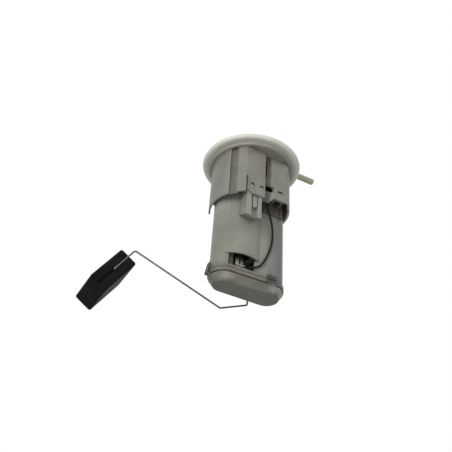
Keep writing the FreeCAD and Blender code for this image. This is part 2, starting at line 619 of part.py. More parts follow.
def bracketSkirt():
    top, bottom, wide = s.plateUnder, s.skirtBottom, s.skirtRadius + beyond

    def dShape(name, inset, lift):
        """The solid inside the skirt's outline, drawn in by an inset."""
        low, high = bottom - lift, top + lift
        parts = []
        for side, y, edge in (("right", s.rightTabY, wide), ("left", s.leftTabY, s.tabEdgeX - inset)):
            round_ = rod(f"{name}_round_{side}", s.skirtRadius - inset, 0, 0, low, high - low)
            box = block(f"{name}_front_{side}", (-wide, edge), (y + inset, wide), (low, high))
            parts.append(shared(f"{name}_{side}", round_, box))
        return joined(name, *parts)

    floor = s.rightTabY + s.recessDepth
    back = floor + s.skirtWall
    recessBack = block("recess_back", (s.tabEdgeX - s.skirtWall, s.recessRight + s.skirtWall),
                       (s.rightTabY, back), (bottom, top))
    lining = spoke("channel_lining", s.channelAngle,
                   s.skirtRadius - s.skirtWall - s.channelDepth + s.skirtWall / 4,
                   s.skirtRadius - s.skirtWall / 2, s.channelHalf + s.skirtWall * 0.9, bottom, top)
    wall = joined("skirt_wall", less("skirt_shell", dShape("skirt_out", Size(0), Size(0)),
                                     dShape("skirt_in", s.skirtWall, Size(beyond))),
                  recessBack, lining, *skirtLugs("lug", Size(0)))
    front = (s.leftTabY - beyond, s.rightTabY + s.skirtWall + beyond)
    cuts = [
        column("recess_cut", [
            (s.tabEdgeX, s.leftTabY - beyond), (s.recessRight, s.leftTabY - beyond),
            (s.recessRight, s.rightTabY), (s.recessFlank, floor), (s.tabEdgeX, floor)],
            bottom - beyond, top + beyond),
        block("recess_hole", (s.holeLeft, s.recessRight),
              (s.leftTabY, back + beyond), (s.recessBottom, s.recessTop)),
        facet("left_corner", [
            (s.slotX, s.tabCornerZ), (s.tabCornerX, bottom), (s.tabCornerX, bottom - beyond),
            (s.slotX, bottom - beyond)], s.leftTabY - beyond, s.leftTabY + s.skirtWall * 2),
        facet("bar_end", [
            (s.barFootX, bottom), (s.recessRight, s.barEndZ), (wide, s.barEndZ), (wide, bottom - beyond),
            (s.barFootX, bottom - beyond)], s.rightTabY - beyond, back + beyond),
        spoke("channel_cut", s.channelAngle, s.skirtRadius - s.channelDepth,
              s.skirtRadius + beyond, s.channelHalf, bottom - beyond, top + beyond),
        block("front_slot", (s.slotX - s.slotWide / 2, s.slotX + s.slotWide / 2),
              (-wide, s.leftTabY + s.skirtWall * 3), (bottom - beyond, s.slotTop)),
        block("recess_slit", (s.slitLeft, s.slitRight), (s.rightTabY, back + beyond),
              (s.slitBottom, s.slitTop)),
        block("seam_slit", (s.seamX - s.seamWide / 2, s.seamX + s.seamWide / 2),
              (-wide, s.rightTabY + s.skirtWall * 2), (s.seamBottom, s.seamTop)),
        block("right_foot", (s.recessRight, wide), (-wide, wide), (bottom - beyond, s.rightTabBottom)),
        block("window_a", (s.windowALeft, s.windowARight),
              (s.leftTabY - beyond, s.leftTabY + s.skirtWall + beyond), (s.windowABottom, s.windowATop)),
        block("window_b", (s.windowBLeft, s.windowBRight),
              (s.leftTabY - beyond, s.leftTabY + s.skirtWall + beyond), (s.windowBBottom, s.windowBTop)),
        block("window_c", (s.windowCLeft, s.windowCRight), front, (s.windowCBottom, s.windowCTop)),
        block("back_opening", (-wide, s.recessRight), (s.backOpeningY, wide),
              (bottom - beyond, s.backOpeningTop)),
    ]
    keep("bracket_skirt", less("bracket_skirt", wall, *cuts))


# Canister: pump chamber with its bulge, filter chamber, snap boss, arm and window


def catch(name, left, right, bottom, top, face):
    """A snap catch that stands out of a wall into a window of the skirt."""
    gap = s.catchGap
    return block(name, (left + gap, right - gap), (face - s.catchProud, face + s.catchProud),
                 (bottom + gap, top - s.catchDrop))


def column(name, points, bottom, top):
    """A prism along Z from points of x and y."""
    body = newBody(name)
    sketch = sketchOn(body, "XY_Plane", f"{name}_plan", bottom)
    drawPolygon(sketch, points)
    padded(body, sketch, asSize(top) - bottom, f"{name}_pad")
    return body


def facet(name, points, near, far):
    """A prism along Y from points of x and z."""
    body = newBody(name)
    sketch = sketchOn(body, "XZ_Plane", f"{name}_front", -asSize(near))
    drawPolygon(sketch, points)
    pad = padded(body, sketch, asSize(far) - near, f"{name}_pad")
    pad.Reversed = True
    return body


def wedge(name, points, left, right):
    """A prism along X from points of y and z."""
    body = newBody(name)
    sketch = sketchOn(body, "YZ_Plane", f"{name}_side", left)
    drawPolygon(sketch, points)
    padded(body, sketch, asSize(right) - left, f"{name}_pad")
    return body


def canister():
    ringOut = s.rightLobeRadius - s.upperInset
    ringIn = ringOut - s.filterWall
    outer = joined(
        "case_outside",
        lobed("case_bulged", 0, s.bulgeBottom, s.upperStep, True),
        lobed("case_upper", s.upperInset, s.upperStep, s.caseTop, True),
        lobed("case_straight", 0, s.caseBottom, s.bulgeBottom, False),
        lobed("case_collar", -s.collarProud, s.caseBottom, s.collarTop, False))
    shell = less(
        "case_shell", outer,
        lobed("room_bulged", s.caseWall, s.bulgeBottom - beyond / 2, s.upperStep, True),
        lobed("room_upper", s.caseWall + s.upperInset, s.upperStep - beyond, s.caseTop + beyond, True),
        lobed("room_straight", s.caseWall, s.caseBottom - beyond, s.bulgeBottom, False))
    partition = tube("filter_partition", ringOut, ringIn, s.rightLobeX, s.lobeY, s.filterFloor, s.caseTop)
    floor = tube("filter_floor", ringIn + s.filterWall / 2,
                 s.regulatorNeck + s.sealRadius * 2, s.rightLobeX, s.lobeY,
                 s.filterFloor, s.filterFloor + s.filterFloorThick)
    regulatorRing = tube("regulator_ring", s.regulatorRadius + s.regulatorFit + s.socketRing,
                         s.regulatorRadius + s.regulatorFit, s.rightLobeX, s.lobeY,
                         s.socketRingBottom, s.filterFloor)
    shelf = less("pump_shelf", shared(
        "shelf_round", rod("shelf_disc", s.pumpRadius + s.shelfThick * 1.5, s.pumpX, s.pumpY,
                           s.shelfTop - s.shelfThick, s.shelfThick),
        lobed("shelf_limit", s.caseWall * 0.7, s.shelfTop - s.shelfThick, s.shelfTop, True)),
        rod("shelf_hole", s.shelfBore, s.pumpX, s.pumpY, s.shelfTop - s.shelfThick - beyond,
            s.shelfThick + beyond * 2))
    rib = block("window_rib", (s.ribLeft, s.ribRight), (s.ribFront, s.ribFront + s.ribThick),
                (s.strainerTop + s.tabGap, s.shelfTop - s.shelfThick / 2))
    bossFace = s.leftTabY + s.skirtWall + s.tabGap
    armFace = s.rightTabY + s.skirtWall + s.tabGap
    boss = wedge("snap_boss", [
        (bossFace, s.bossTop), (bossFace, s.bossFoot), (s.bossRoot, s.bossHeel), (s.bossRoot, s.bossTop)],
        s.bossLeft, s.bossRight)
    bossPocket = block("boss_pocket", (s.pocketLeft, s.pocketRight), (bossFace - beyond, bossFace + s.pocketDepth),
                       (s.bossFoot - beyond, s.bossTop + beyond))
    tongueBody = newBody("tongue_body")
    tonguePlan = sketchOn(tongueBody, "XZ_Plane", "tongue_front", -(bossFace + s.tongueInset))
    drawBox(tonguePlan, s.tongueLeft, s.tongueRight, s.tongueBottom, s.bossTop)
    tonguePad = padded(tongueBody, tonguePlan, s.pocketDepth, "tongue_pad")
    tonguePad.Reversed = True
    softened(tongueBody, tonguePad, s.tongueRound, "tongue_round", lambda edge: (
        abs(edge.BoundBox.ZMax - s.tongueBottom.number) < 0.01
        and edge.BoundBox.YMax - edge.BoundBox.YMin > s.tongueInset.number * 2))
    arm = block("snap_arm", (s.armLeft, s.armRight), (armFace, armFace + s.armThick),
                (s.armBottom, s.armTop))
    wallY = s.lobeY - s.rightLobeRadius
    armDepth = (armFace + s.armThick / 2, wallY + s.upperInset * 2.5)
    armRibs = [block("arm_rib_left", (s.armLeft, s.armLeft + s.armRib), armDepth, (s.armBottom, s.armTop)),
               block("arm_rib_right", (s.armRight - s.armRib, s.armRight), armDepth, (s.armBottom, s.armTop))]
    headPlate = block("head_plate", (s.headLeft, s.headRight), (s.headFront, wallY + s.upperInset * 2.5),
                      (s.headBottom, s.caseTop))
    headRib = block("head_rib", (s.headRibLeft, s.headRibRight), (s.headFront - s.headRibProud, wallY),
                    (s.headBottom, s.caseTop))
    guides = [block("guide_long", (s.guideAX, s.guideAX + s.guideWide),
                    (wallY - s.guideProud, wallY + s.caseWall / 2),
                    (s.guideBottom, s.guideBottom + s.guideTall)),
              block("guide_short", (s.guideBX, s.guideBX + s.guideWide),
                    (wallY - s.guideProud, wallY + s.caseWall / 2),
                    (s.guideBottom, s.guideBottom + s.guideShort))]
    senderPad = block("sender_pad", (s.padLeft, s.padRight),
                      (s.lobeY + s.leftLobeRadius - s.caseWall / 2, s.padFace), (s.padBottom, s.padTop))
    solid = joined(
        "case_solid", shell, partition, floor, regulatorRing, shelf, rib,
        less("boss_open", joined("front_solid", less("boss_ribs", boss, bossPocket), headPlate, headRib),
             lobed("front_room_low", s.caseWall * 0.6, s.bossFoot - beyond, s.upperStep, True),
             lobed("front_room_high", s.caseWall * 0.6 + s.upperInset, s.upperStep - beyond,
                   s.bossTop + beyond * 5, True)),
        tongueBody, arm, *armRibs, *guides,
        catch("catch_a", s.windowALeft, s.windowARight, s.windowABottom, s.windowATop, bossFace),
        catch("catch_b", s.windowBLeft, s.windowBRight, s.windowBBottom, s.windowBTop, bossFace),
        catch("catch_c", s.windowCLeft, s.windowCRight, s.windowCBottom, s.windowCTop, armFace),
        less("pad_open", senderPad, lobed("pad_room", s.caseWall * 0.6, s.padBottom - beyond,
                                          s.padTop + beyond, True)),
        *capCatches())
    window = block("fuel_window", (s.windowLeft, s.windowRight), (wallY - beyond * 3, s.ribFront - beyond / 4),
                   (s.windowSill, s.bulgeBottom))
    keep("canister", less("canister", solid, window))


def capCatches():
    """Ramps under the cap's loops, at the left end, in front and behind."""
    proud = s.loopStand + s.loopThick
    collar = s.collarProud
    bar = s.loopTop - s.loopBar
    leftX = s.leftLobeX - s.leftLobeRadius
    nearY = s.lobeY - s.rightLobeRadius
    farY = s.lobeY + s.rightLobeRadius
    leftHalf = s.leftLoopHalf - s.loopArm - s.loopStand
    nearHalf = s.nearLoopHalf - s.loopArm - s.loopStand
    levels = (bar - s.catchTall, bar - s.loopStand)
    slotLevels = (s.slotHigh - s.slotCatch, s.slotHigh - s.loopStand)
    return [
        block("catch_left", (leftX - collar - proud, leftX + s.caseWall / 2),
              (s.lobeY - leftHalf, s.lobeY + leftHalf), levels),
        block("catch_near", (s.nearLoopX - nearHalf, s.nearLoopX + nearHalf),
              (nearY - collar - proud, nearY + s.caseWall / 2), slotLevels),
        block("catch_far", (s.farLoopX - nearHalf, s.farLoopX + nearHalf),
              (farY - s.caseWall * 0.8, farY + collar + proud), slotLevels),
    ]


def bottomCap():
    shape = lobed("cap_plan", -s.capProud, s.capBottom, s.caseBottom, False)
    taper = tapered(shape, shape.Group[-1], s.capTaperIn, s.capTaperTall, "cap_taper", lyingAt(s.capBottom))
    softened(shape, taper, s.capRound, "cap_round", lyingAt(s.capBottom))
    ledge = s.caseBottom - s.capFloor
    room = lobed("cap_room", s.caseWall, ledge, s.caseBottom + beyond, False)
    deep = lobed("cap_deep", s.capDeepInset, s.capBottom + s.capFloor, ledge + beyond, False)
    lip = less("cap_lip", lobed("lip_out", s.caseWall + s.lipGap, s.caseBottom - s.capFloor, s.lipTop, False),
               lobed("lip_in", s.caseWall + s.lipGap + s.lipThick, s.caseBottom - s.capFloor - beyond,
                     s.lipTop + beyond, False),
               block("lip_gate", (s.windowLeft - beyond * 4, s.windowRight + beyond * 4),
                     (s.lobeY - s.rightLobeRadius - beyond, s.ribFront + s.ribThick + beyond),
                     (s.caseBottom, s.lipTop + beyond)))
    bar = s.loopTop - s.loopBar
    loops = []
    leftFace = s.leftLobeX - s.leftLobeRadius - s.collarProud
    foot = leftFace - s.loopStand - s.loopLean
    leaning = facet("loop_left", [
        (leftFace - s.loopStand, s.loopTop), (foot + s.loopThick, s.loopHook),
        (leftFace - s.loopStand, s.loopHook), (leftFace - s.loopStand, s.caseBottom),
        (leftFace + s.caseWall, s.caseBottom), (leftFace + s.caseWall, ledge),
        (foot - s.loopThick / 2, s.loopHook - s.loopBar),
        (leftFace - s.loopStand - s.loopThick, s.loopTop)],
        s.lobeY - s.leftLoopHalf, s.lobeY + s.leftLoopHalf)
    gate = block("loop_left_gate", (foot - s.loopThick * 2, leftFace - s.loopStand / 2),
                 (s.lobeY - s.leftLoopHalf + s.loopArm, s.lobeY + s.leftLoopHalf - s.loopArm),
                 (s.loopHook, bar))
    loops.append(less("loop_left_open", leaning, gate))
    arm, half = s.loopArm, s.nearLoopHalf
    for name, middle, face, outward in (
            ("near", s.nearLoopX, s.lobeY - s.rightLobeRadius - s.collarProud, -1),
            ("far", s.farLoopX, s.lobeY + s.rightLobeRadius + s.collarProud, 1)):
        near, outside = face + s.loopStand * outward, face + (s.loopStand + s.loopThick) * outward
        inside = near - (s.loopStand + s.collarProud + s.caseWall) * outward
        depth = (outside, near) if outward < 0 else (near, outside)
        rooted = (outside, inside) if outward < 0 else (inside, outside)
        loops += [
            block(f"loop_{name}_bar", (middle - half, middle + half), depth, (s.slotHigh, s.nearLoopTop)),
            block(f"loop_{name}_left", (middle - half, middle - half + arm), depth, (s.loopRoot, s.slotHigh)),
            block(f"loop_{name}_right", (middle + half - arm, middle + half), depth, (s.loopRoot, s.slotHigh)),
            block(f"loop_{name}_foot", (middle - half, middle + half), depth, (s.loopRoot, s.slotLow)),
            block(f"loop_{name}_root", (middle - half, middle + half), rooted, (s.loopRoot, s.caseBottom)),
        ]
    solid = joined("cap_solid", shape, *loops)
    lipBase = less("lip_base", lobed("base_out", s.caseWall * 0.8, s.caseBottom - s.capFloor, s.caseBottom,
                                     False),
                   lobed("base_in", s.caseWall + s.lipGap + s.lipThick, s.caseBottom - s.capFloor - beyond,
                         s.caseBottom + beyond, False))
    keep("bottom_cap", joined("bottom_cap", less("cap_open", solid, room, deep), lipBase, lip))


def caseLid():
    low, high = s.caseTop, s.caseTop + s.lidThick
    wall, half = s.ductWall, s.ductHalf
    plate = lobed("lid_plate", s.upperInset, low, high, True)
    duct = block("lid_duct", (s.ductLeft, s.ductRight), (s.ductY - half, s.ductY + half), (high, s.ductTop))
    nipple = rod("lid_nipple", s.barbRadius, s.rightLobeX, s.lobeY, high, s.lidNippleTop - high)
    cuts = [
        block("duct_room", (s.ductLeft + wall, s.ductRight - wall),
              (s.ductY - half + wall, s.ductY + half - wall), (high, s.ductTop - wall)),
        rod("lid_pump_port", s.outletRadius + s.plugGap, s.outletX, s.ductY, low - beyond,
            s.lidThick + beyond * 2),
        rod("lid_filter_port", s.filterPortRadius, s.filterPortX, s.ductY, low - beyond,
            s.lidThick + beyond * 2),
        rod("lid_nipple_bore", s.nippleBore, s.rightLobeX, s.lobeY, low - beyond,
            s.lidNippleTop - low + beyond * 2),
        block("lid_terminal_slot",
              (s.pumpX - s.terminalSpread - s.terminalWide, s.pumpX + s.terminalSpread + s.terminalWide),
              (s.terminalY - s.terminalWide, s.terminalY + s.terminalWide), (low - beyond, high + beyond)),
    ]
    keep("case_lid", less("case_lid", joined("lid_solid", plate, duct, nipple), *cuts))


# Pump


def pumpUnit():
    x, y = s.pumpX, s.pumpY
    inside = s.pumpRadius - s.pumpWall
    fitIn = inside - s.impellerGap / 2
    lip = inside - s.pumpLip
    ringTop = s.coverTop + s.impellerThick + s.impellerGap * 2
    keep("pump_casing", turned("pump_casing", [
        (lip, s.pumpBottom), (s.pumpRadius, s.pumpBottom), (s.pumpRadius, s.pumpTop), (lip, s.pumpTop),
        (lip, s.pumpTop - s.pumpWall), (inside, s.pumpTop - s.pumpWall),
        (inside, s.pumpBottom + s.pumpWall), (lip, s.pumpBottom + s.pumpWall)], x, y))
    keep("pump_cushion", turned("pump_cushion", [
        (s.shelfBore, s.shelfTop), (s.pumpRadius + s.cushionWall, s.shelfTop),
        (s.pumpRadius + s.cushionWall, s.shelfTop + s.cushionLip), (s.pumpRadius, s.shelfTop + s.cushionLip),
        (s.pumpRadius, s.pumpBottom), (s.shelfBore, s.pumpBottom)], x, y))
    disc = turned("inlet_disc", [
        (0, s.pumpBottom + s.pumpWall / 2), (lip - s.impellerGap, s.pumpBottom + s.pumpWall / 2),
        (lip - s.impellerGap, s.pumpBottom + s.pumpWall), (fitIn, s.pumpBottom + s.pumpWall),
        (fitIn, s.coverTop), (0, s.coverTop)], x, y)
    pipe = rod("inlet_pipe", s.inletRadius, s.inletX, s.inletY, s.inletBottom, s.coverTop - s.inletBottom - 1)
    bore = rod("inlet_bore", s.inletBore, s.inletX, s.inletY, s.inletBottom - beyond,
               s.coverTop - s.inletBottom + beyond * 2)
    pocket = rod("shaft_pocket", s.shaftRadius + s.shaftGap, x, y, s.shaftBottom - s.impellerGap,
                 s.coverTop - s.shaftBottom + beyond)
    keep("inlet_cover", less("inlet_cover", joined("inlet_solid", disc, pipe), bore, pocket))
    keep("impeller_ring", turned("impeller_ring", [
        (s.impellerRadius + s.impellerGap, s.coverTop), (fitIn, s.coverTop), (fitIn, ringTop),
        (s.impellerRadius + s.impellerGap, ringTop)], x, y))
    impeller(x, y)
    plate = turned("chamber_disc", [
        (s.bushRadius, ringTop), (fitIn, ringTop), (fitIn, s.chamberTop), (s.bushRadius, s.chamberTop)], x, y)
    port = rod("chamber_port", s.inletBore, x + s.bushRadius * 2, y + s.bushRadius, ringTop - beyond,
               s.chamberTop - ringTop + beyond * 2)
    keep("chamber_plate", less("chamber_plate", plate, port))
    bushings = []
    for name, low in (("low", s.chamberTop - s.bushThick), ("high", s.endCoverBottom + s.pumpWall * 5)):
        bushings.append(tube(f"bushing_{name}", s.bushRadius, s.shaftRadius + s.shaftGap, x, y, low,
                             low + s.bushThick))
    keep("shaft_bushings", together("shaft_bushings", *bushings))
    keep("motor_shaft", rod("motor_shaft", s.shaftRadius, x, y, s.shaftBottom, s.shaftTop - s.shaftBottom))
    keep("armature_core", armatureCore(x, y))
    windings = [tube("winding_low", s.windingRadius, s.shaftRadius, x, y, s.coreBottom - s.windingThick,
                     s.coreBottom),
                tube("winding_high", s.windingRadius, s.shaftRadius, x, y, s.coreTop,
                     s.coreTop + s.windingThick)]
    keep("armature_windings", together("armature_windings", *windings))
    keep("commutator", tube("commutator", s.commRadius, s.shaftRadius, x, y,
                            s.coreTop + s.windingThick, s.commTop - s.brushThick / 2))
    magnetOut = inside - s.impellerGap / 2
    magnetRing = tube("magnet_ring", magnetOut, magnetOut - s.magnetThick, x, y, s.magnetBottom, s.magnetTop)
    gap = s.brushWide / 2
    halves = [less(f"magnet{number}", magnetRing, block(
        f"magnet_gap{number}", span, (y - s.pumpRadius, y + s.pumpRadius),
        (s.magnetBottom - beyond, s.magnetTop + beyond)))
        for number, span in enumerate(((x - gap, x + s.pumpRadius), (x - s.pumpRadius, x + gap)))]
    keep("field_magnets", together("field_magnets", *halves))
    endCover(x, y, inside, lip)
    tab = block("ground_tab", (s.groundX - s.groundWide / 2, s.groundX + s.groundWide / 2),
                (s.groundY - s.groundThick / 2, s.groundY + s.groundThick / 2),
                (s.groundBottom, s.pumpBottom + s.pumpWall / 2))
    keep("ground_tab", tab)


def impeller(x, y):
    """A disc with a ring of vane pockets on its rim."""
    body = newBody("impeller")
    bottom = s.coverTop + s.impellerGap
    disc = sketchOn(body, "XY_Plane", "impeller_disc", bottom)
    drawCircle(disc, 0, 0, s.impellerRadius)
    drawCircle(disc, 0, 0, s.shaftRadius)
    padded(body, disc, s.impellerThick, "impeller_pad")
    notch = sketchOn(body, "XY_Plane", "vane_pocket", bottom + s.impellerThick)
    drawBox(notch, s.impellerRadius - s.impellerThick, s.impellerRadius + beyond,
            -s.pinThick / 2, s.pinThick / 2)
    pocket = pocketed(body, notch, s.impellerThick, "vane_cut")
    pattern = body.newObject("PartDesign::PolarPattern", "vane_ring")
    pattern.Originals = [pocket]
    pattern.Axis = (disc, ["N_Axis"])
    pattern.Angle = 360
    pattern.Occurrences = 24
    body.Tip = pattern
    place(body, x, y, 0)
    keep("impeller", body)


def armatureCore(x, y):
    """The laminated core, with slots between its poles."""
    body = newBody("armature_core")
    disc = sketchOn(body, "XY_Plane", "core_disc", s.coreBottom)
    drawCircle(disc, 0, 0, s.coreRadius)
    drawCircle(disc, 0, 0, s.shaftRadius)
    padded(body, disc, s.coreTop - s.coreBottom, "core_pad")
    slot = sketchOn(body, "XY_Plane", "core_slot", s.coreTop)
    drawBox(slot, s.coreRadius - s.brushWide, s.coreRadius + beyond, -s.pinThick, s.pinThick)
    pocket = pocketed(body, slot, s.coreTop - s.coreBottom, "core_cut")
    pattern = body.newObject("PartDesign::PolarPattern", "pole_ring")
    pattern.Originals = [pocket]
    pattern.Axis = (disc, ["N_Axis"])
    pattern.Angle = 360
    pattern.Occurrences = 8
    body.Tip = pattern
    place(body, x, y, 0)
    return body


def endCover(x, y, inside, lip):
    """Plastic end of the pump: brush boxes, terminals, and the outlet with its check valve."""
    low, neck, top = s.endCoverBottom, s.endCoverNeck, s.endCoverTop
    fitIn = inside - s.impellerGap / 2
    bushLow = low + s.pumpWall * 5
    bushHigh = bushLow + s.bushThick
    step = s.pumpTop - s.pumpWall
    disc = turned("end_disc", [
        (0, low), (fitIn, low), (fitIn, step), (lip - s.impellerGap, step), (lip - s.impellerGap, neck),
        (s.endCoverRadius, neck), (s.endCoverRadius, top), (0, top)], x, y)
    outlet = rod("pump_outlet", s.outletRadius, s.outletX, s.ductY, neck, s.outletTop - neck)
    brushBox = (s.brushThick / 2, s.brushWide / 2)
    cuts = [
        rod("bush_room", s.bushRadius, x, y, bushLow, s.bushThick),
        rod("end_shaft_room", s.shaftRadius + s.impellerGap, x, y, low - beyond, bushLow - low + beyond),
        rod("end_shaft_top", s.shaftRadius + s.impellerGap, x, y, bushHigh - beyond,
            s.shaftTop - bushHigh + beyond * 2),
        rod("valve_port", s.valvePort, s.outletX, s.ductY, low - beyond, s.valveSeat - low + beyond),
        rod("valve_room", s.outletBore, s.outletX, s.ductY, s.valveSeat, s.outletTop - s.valveSeat + beyond),
    ]
    brushes = []
    for number, side in enumerate((-1, 1)):
        middle = x + s.brushOffset * side
        walls = ((middle - brushBox[0], middle + brushBox[0]), (y - brushBox[1], y + brushBox[1]))
        cuts.append(block(f"brush_room{number}", *walls, (low - beyond, s.commTop + s.brushLong)))
        brushes.append(block(f"brush{number}", *walls, (s.commTop, s.commTop + s.brushLong)))
    terminals = []
    for number, side in enumerate((-1, 1)):
        middle = x + s.terminalSpread * side
        walls = ((middle - s.terminalWide / 2, middle + s.terminalWide / 2),
                 (s.terminalY - s.terminalThick / 2, s.terminalY + s.terminalThick / 2))
        cuts.append(block(f"terminal_slot{number}", *walls, (neck, top + beyond)))
        terminals.append(block(f"terminal{number}", *walls, (neck, s.terminalTop)))
    keep("end_cover", less("end_cover", joined("end_solid", disc, outlet), *cuts))
    keep("brushes", together("brushes", *brushes))
    keep("pump_terminals", together("pump_terminals", *terminals))
    valveTop = s.valveSeat + s.poppetGap + s.valveLong
    keep("check_valve", turned("check_valve", [
        (0, s.valveSeat + s.poppetGap), (s.valveRadius, s.valveSeat + s.poppetGap),
        (s.valveRadius, s.valveSeat + s.poppetGap + s.valveLong / 2),
        (s.valvePort, s.valveSeat + s.poppetGap + s.valveLong / 2), (s.valvePort, valveTop), (0, valveTop)],
        s.outletX, s.ductY))
    stopLow = s.outletTop - s.stopThick
    keep("check_stop", tube("check_stop", s.outletBore, s.valvePort, s.outletX, s.ductY, stopLow, s.outletTop))
    keep("check_spring", freeShape("check_spring", coil(
        s.outletX, s.ductY, s.valveSeat + s.poppetGap + s.valveLong / 2, stopLow,
        s.valvePort + s.checkWire, s.checkWire, 6)))


# Pressure regulator under the filter chamber


def regulator():
    x, y = s.rightLobeX, s.lobeY
    wall, top, bottom = s.regulatorWall, s.regulatorTop, s.regulatorBottom
    inside = s.regulatorRadius - wall
    keep("regulator_can", turned("regulator_can", [
        (s.regulatorBore, s.regulatorNeckTop), (s.regulatorNeck, s.regulatorNeckTop),
        (s.regulatorNeck, top), (s.regulatorRadius, top), (s.regulatorRadius, bottom), (inside, bottom),
        (inside, top - wall), (s.regulatorBore, top - wall)], x, y))
    keep("regulator_cap", tube("regulator_cap", inside, s.regulatorBore, x, y, bottom, bottom + wall))
    seat = top - wall - s.poppetGap
    keep("regulator_valve", turned("regulator_valve", [
        (0, seat), (s.poppetRadius, seat), (s.poppetRadius, seat - s.poppetThick / 2),
        (s.regulatorSpring - s.reliefWire, seat - s.poppetThick / 2),
        (s.regulatorSpring - s.reliefWire, seat - s.poppetThick), (0, seat - s.poppetThick)], x, y))
    keep("regulator_spring", freeShape("regulator_spring", coil(
        x, y, bottom + wall, seat - s.poppetThick / 2, s.regulatorSpring, s.reliefWire, 4)))
    ring = doc.addObject("Part::Torus", "regulator_seal")
    bind(ring, "Radius1", s.regulatorNeck + s.sealRadius)
    bind(ring, "Radius2", s.sealRadius)
    place(ring, x, y, s.filterFloor + s.filterFloorThick / 2)
    keep("regulator_seal", ring)


# Filter element and its end plates, and the inlet strainer


def filterUnit():
    x, y = s.rightLobeX, s.lobeY
    outer, core, thick = s.filterRadius.number, s.filterCore.number, s.pleatThick.number
    count = int(s.pleatCount.number)

    def zigzag(peak, valley):
        points = []
        for step in range(count * 2):
            angle = math.pi * step / count
            radius = peak if step % 2 == 0 else valley
            points.append(Vector(x.number + radius * math.cos(angle), y.number + radius * math.sin(angle),
                                 s.filterBottom.number))
        return Part.makePolygon(points + points[:1])

    paper = Part.makeFace([zigzag(outer, core + thick), zigzag(outer - thick * 2, core)],
                          "Part::FaceMakerBullseye")
    height = s.filterTop.number - s.filterBottom.number
    keep("filter_element", freeShape("filter_element", paper.extrude(Vector(0, 0, height))))
    low = tube("end_plate_low", s.endPlateRadius, s.plateBore / 2, x, y,
               s.filterBottom - s.endPlateThick, s.filterBottom)
    high = tube("end_plate_high", s.endPlateRadius, s.plateBore, x, y,
                s.filterTop, s.filterTop + s.endPlateThick)
    keep("filter_end_plates", together("filter_end_plates", low, high))
    plateTop = s.strainerTop + s.strainerPlate
    frame = joined("strainer_frame", less("frame_plate_open",
                   lobed("frame_plate", s.strainerInset + s.strainerPlate, s.strainerTop, plateTop, False),
                   rod("frame_hole", s.inletRadius, s.inletX, s.inletY, s.strainerTop - beyond,
                       s.strainerPlate + beyond * 2)),
                   tube("strainer_neck", s.inletRadius + s.neckWall, s.inletRadius, s.inletX, s.inletY,
                        s.strainerTop, s.neckTop))
    keep("strainer_frame", frame)
    sock = lobed("inlet_strainer", s.strainerInset, s.strainerBottom, s.strainerTop, False)
    softened(sock, sock.Group[-1], s.capFloor, "sock_round", lambda edge: (
        lyingAt(s.strainerBottom)(edge) or lyingAt(s.strainerTop)(edge)))
    keep("inlet_strainer", sock)


# Ground clip, plug under the flange, and the leads


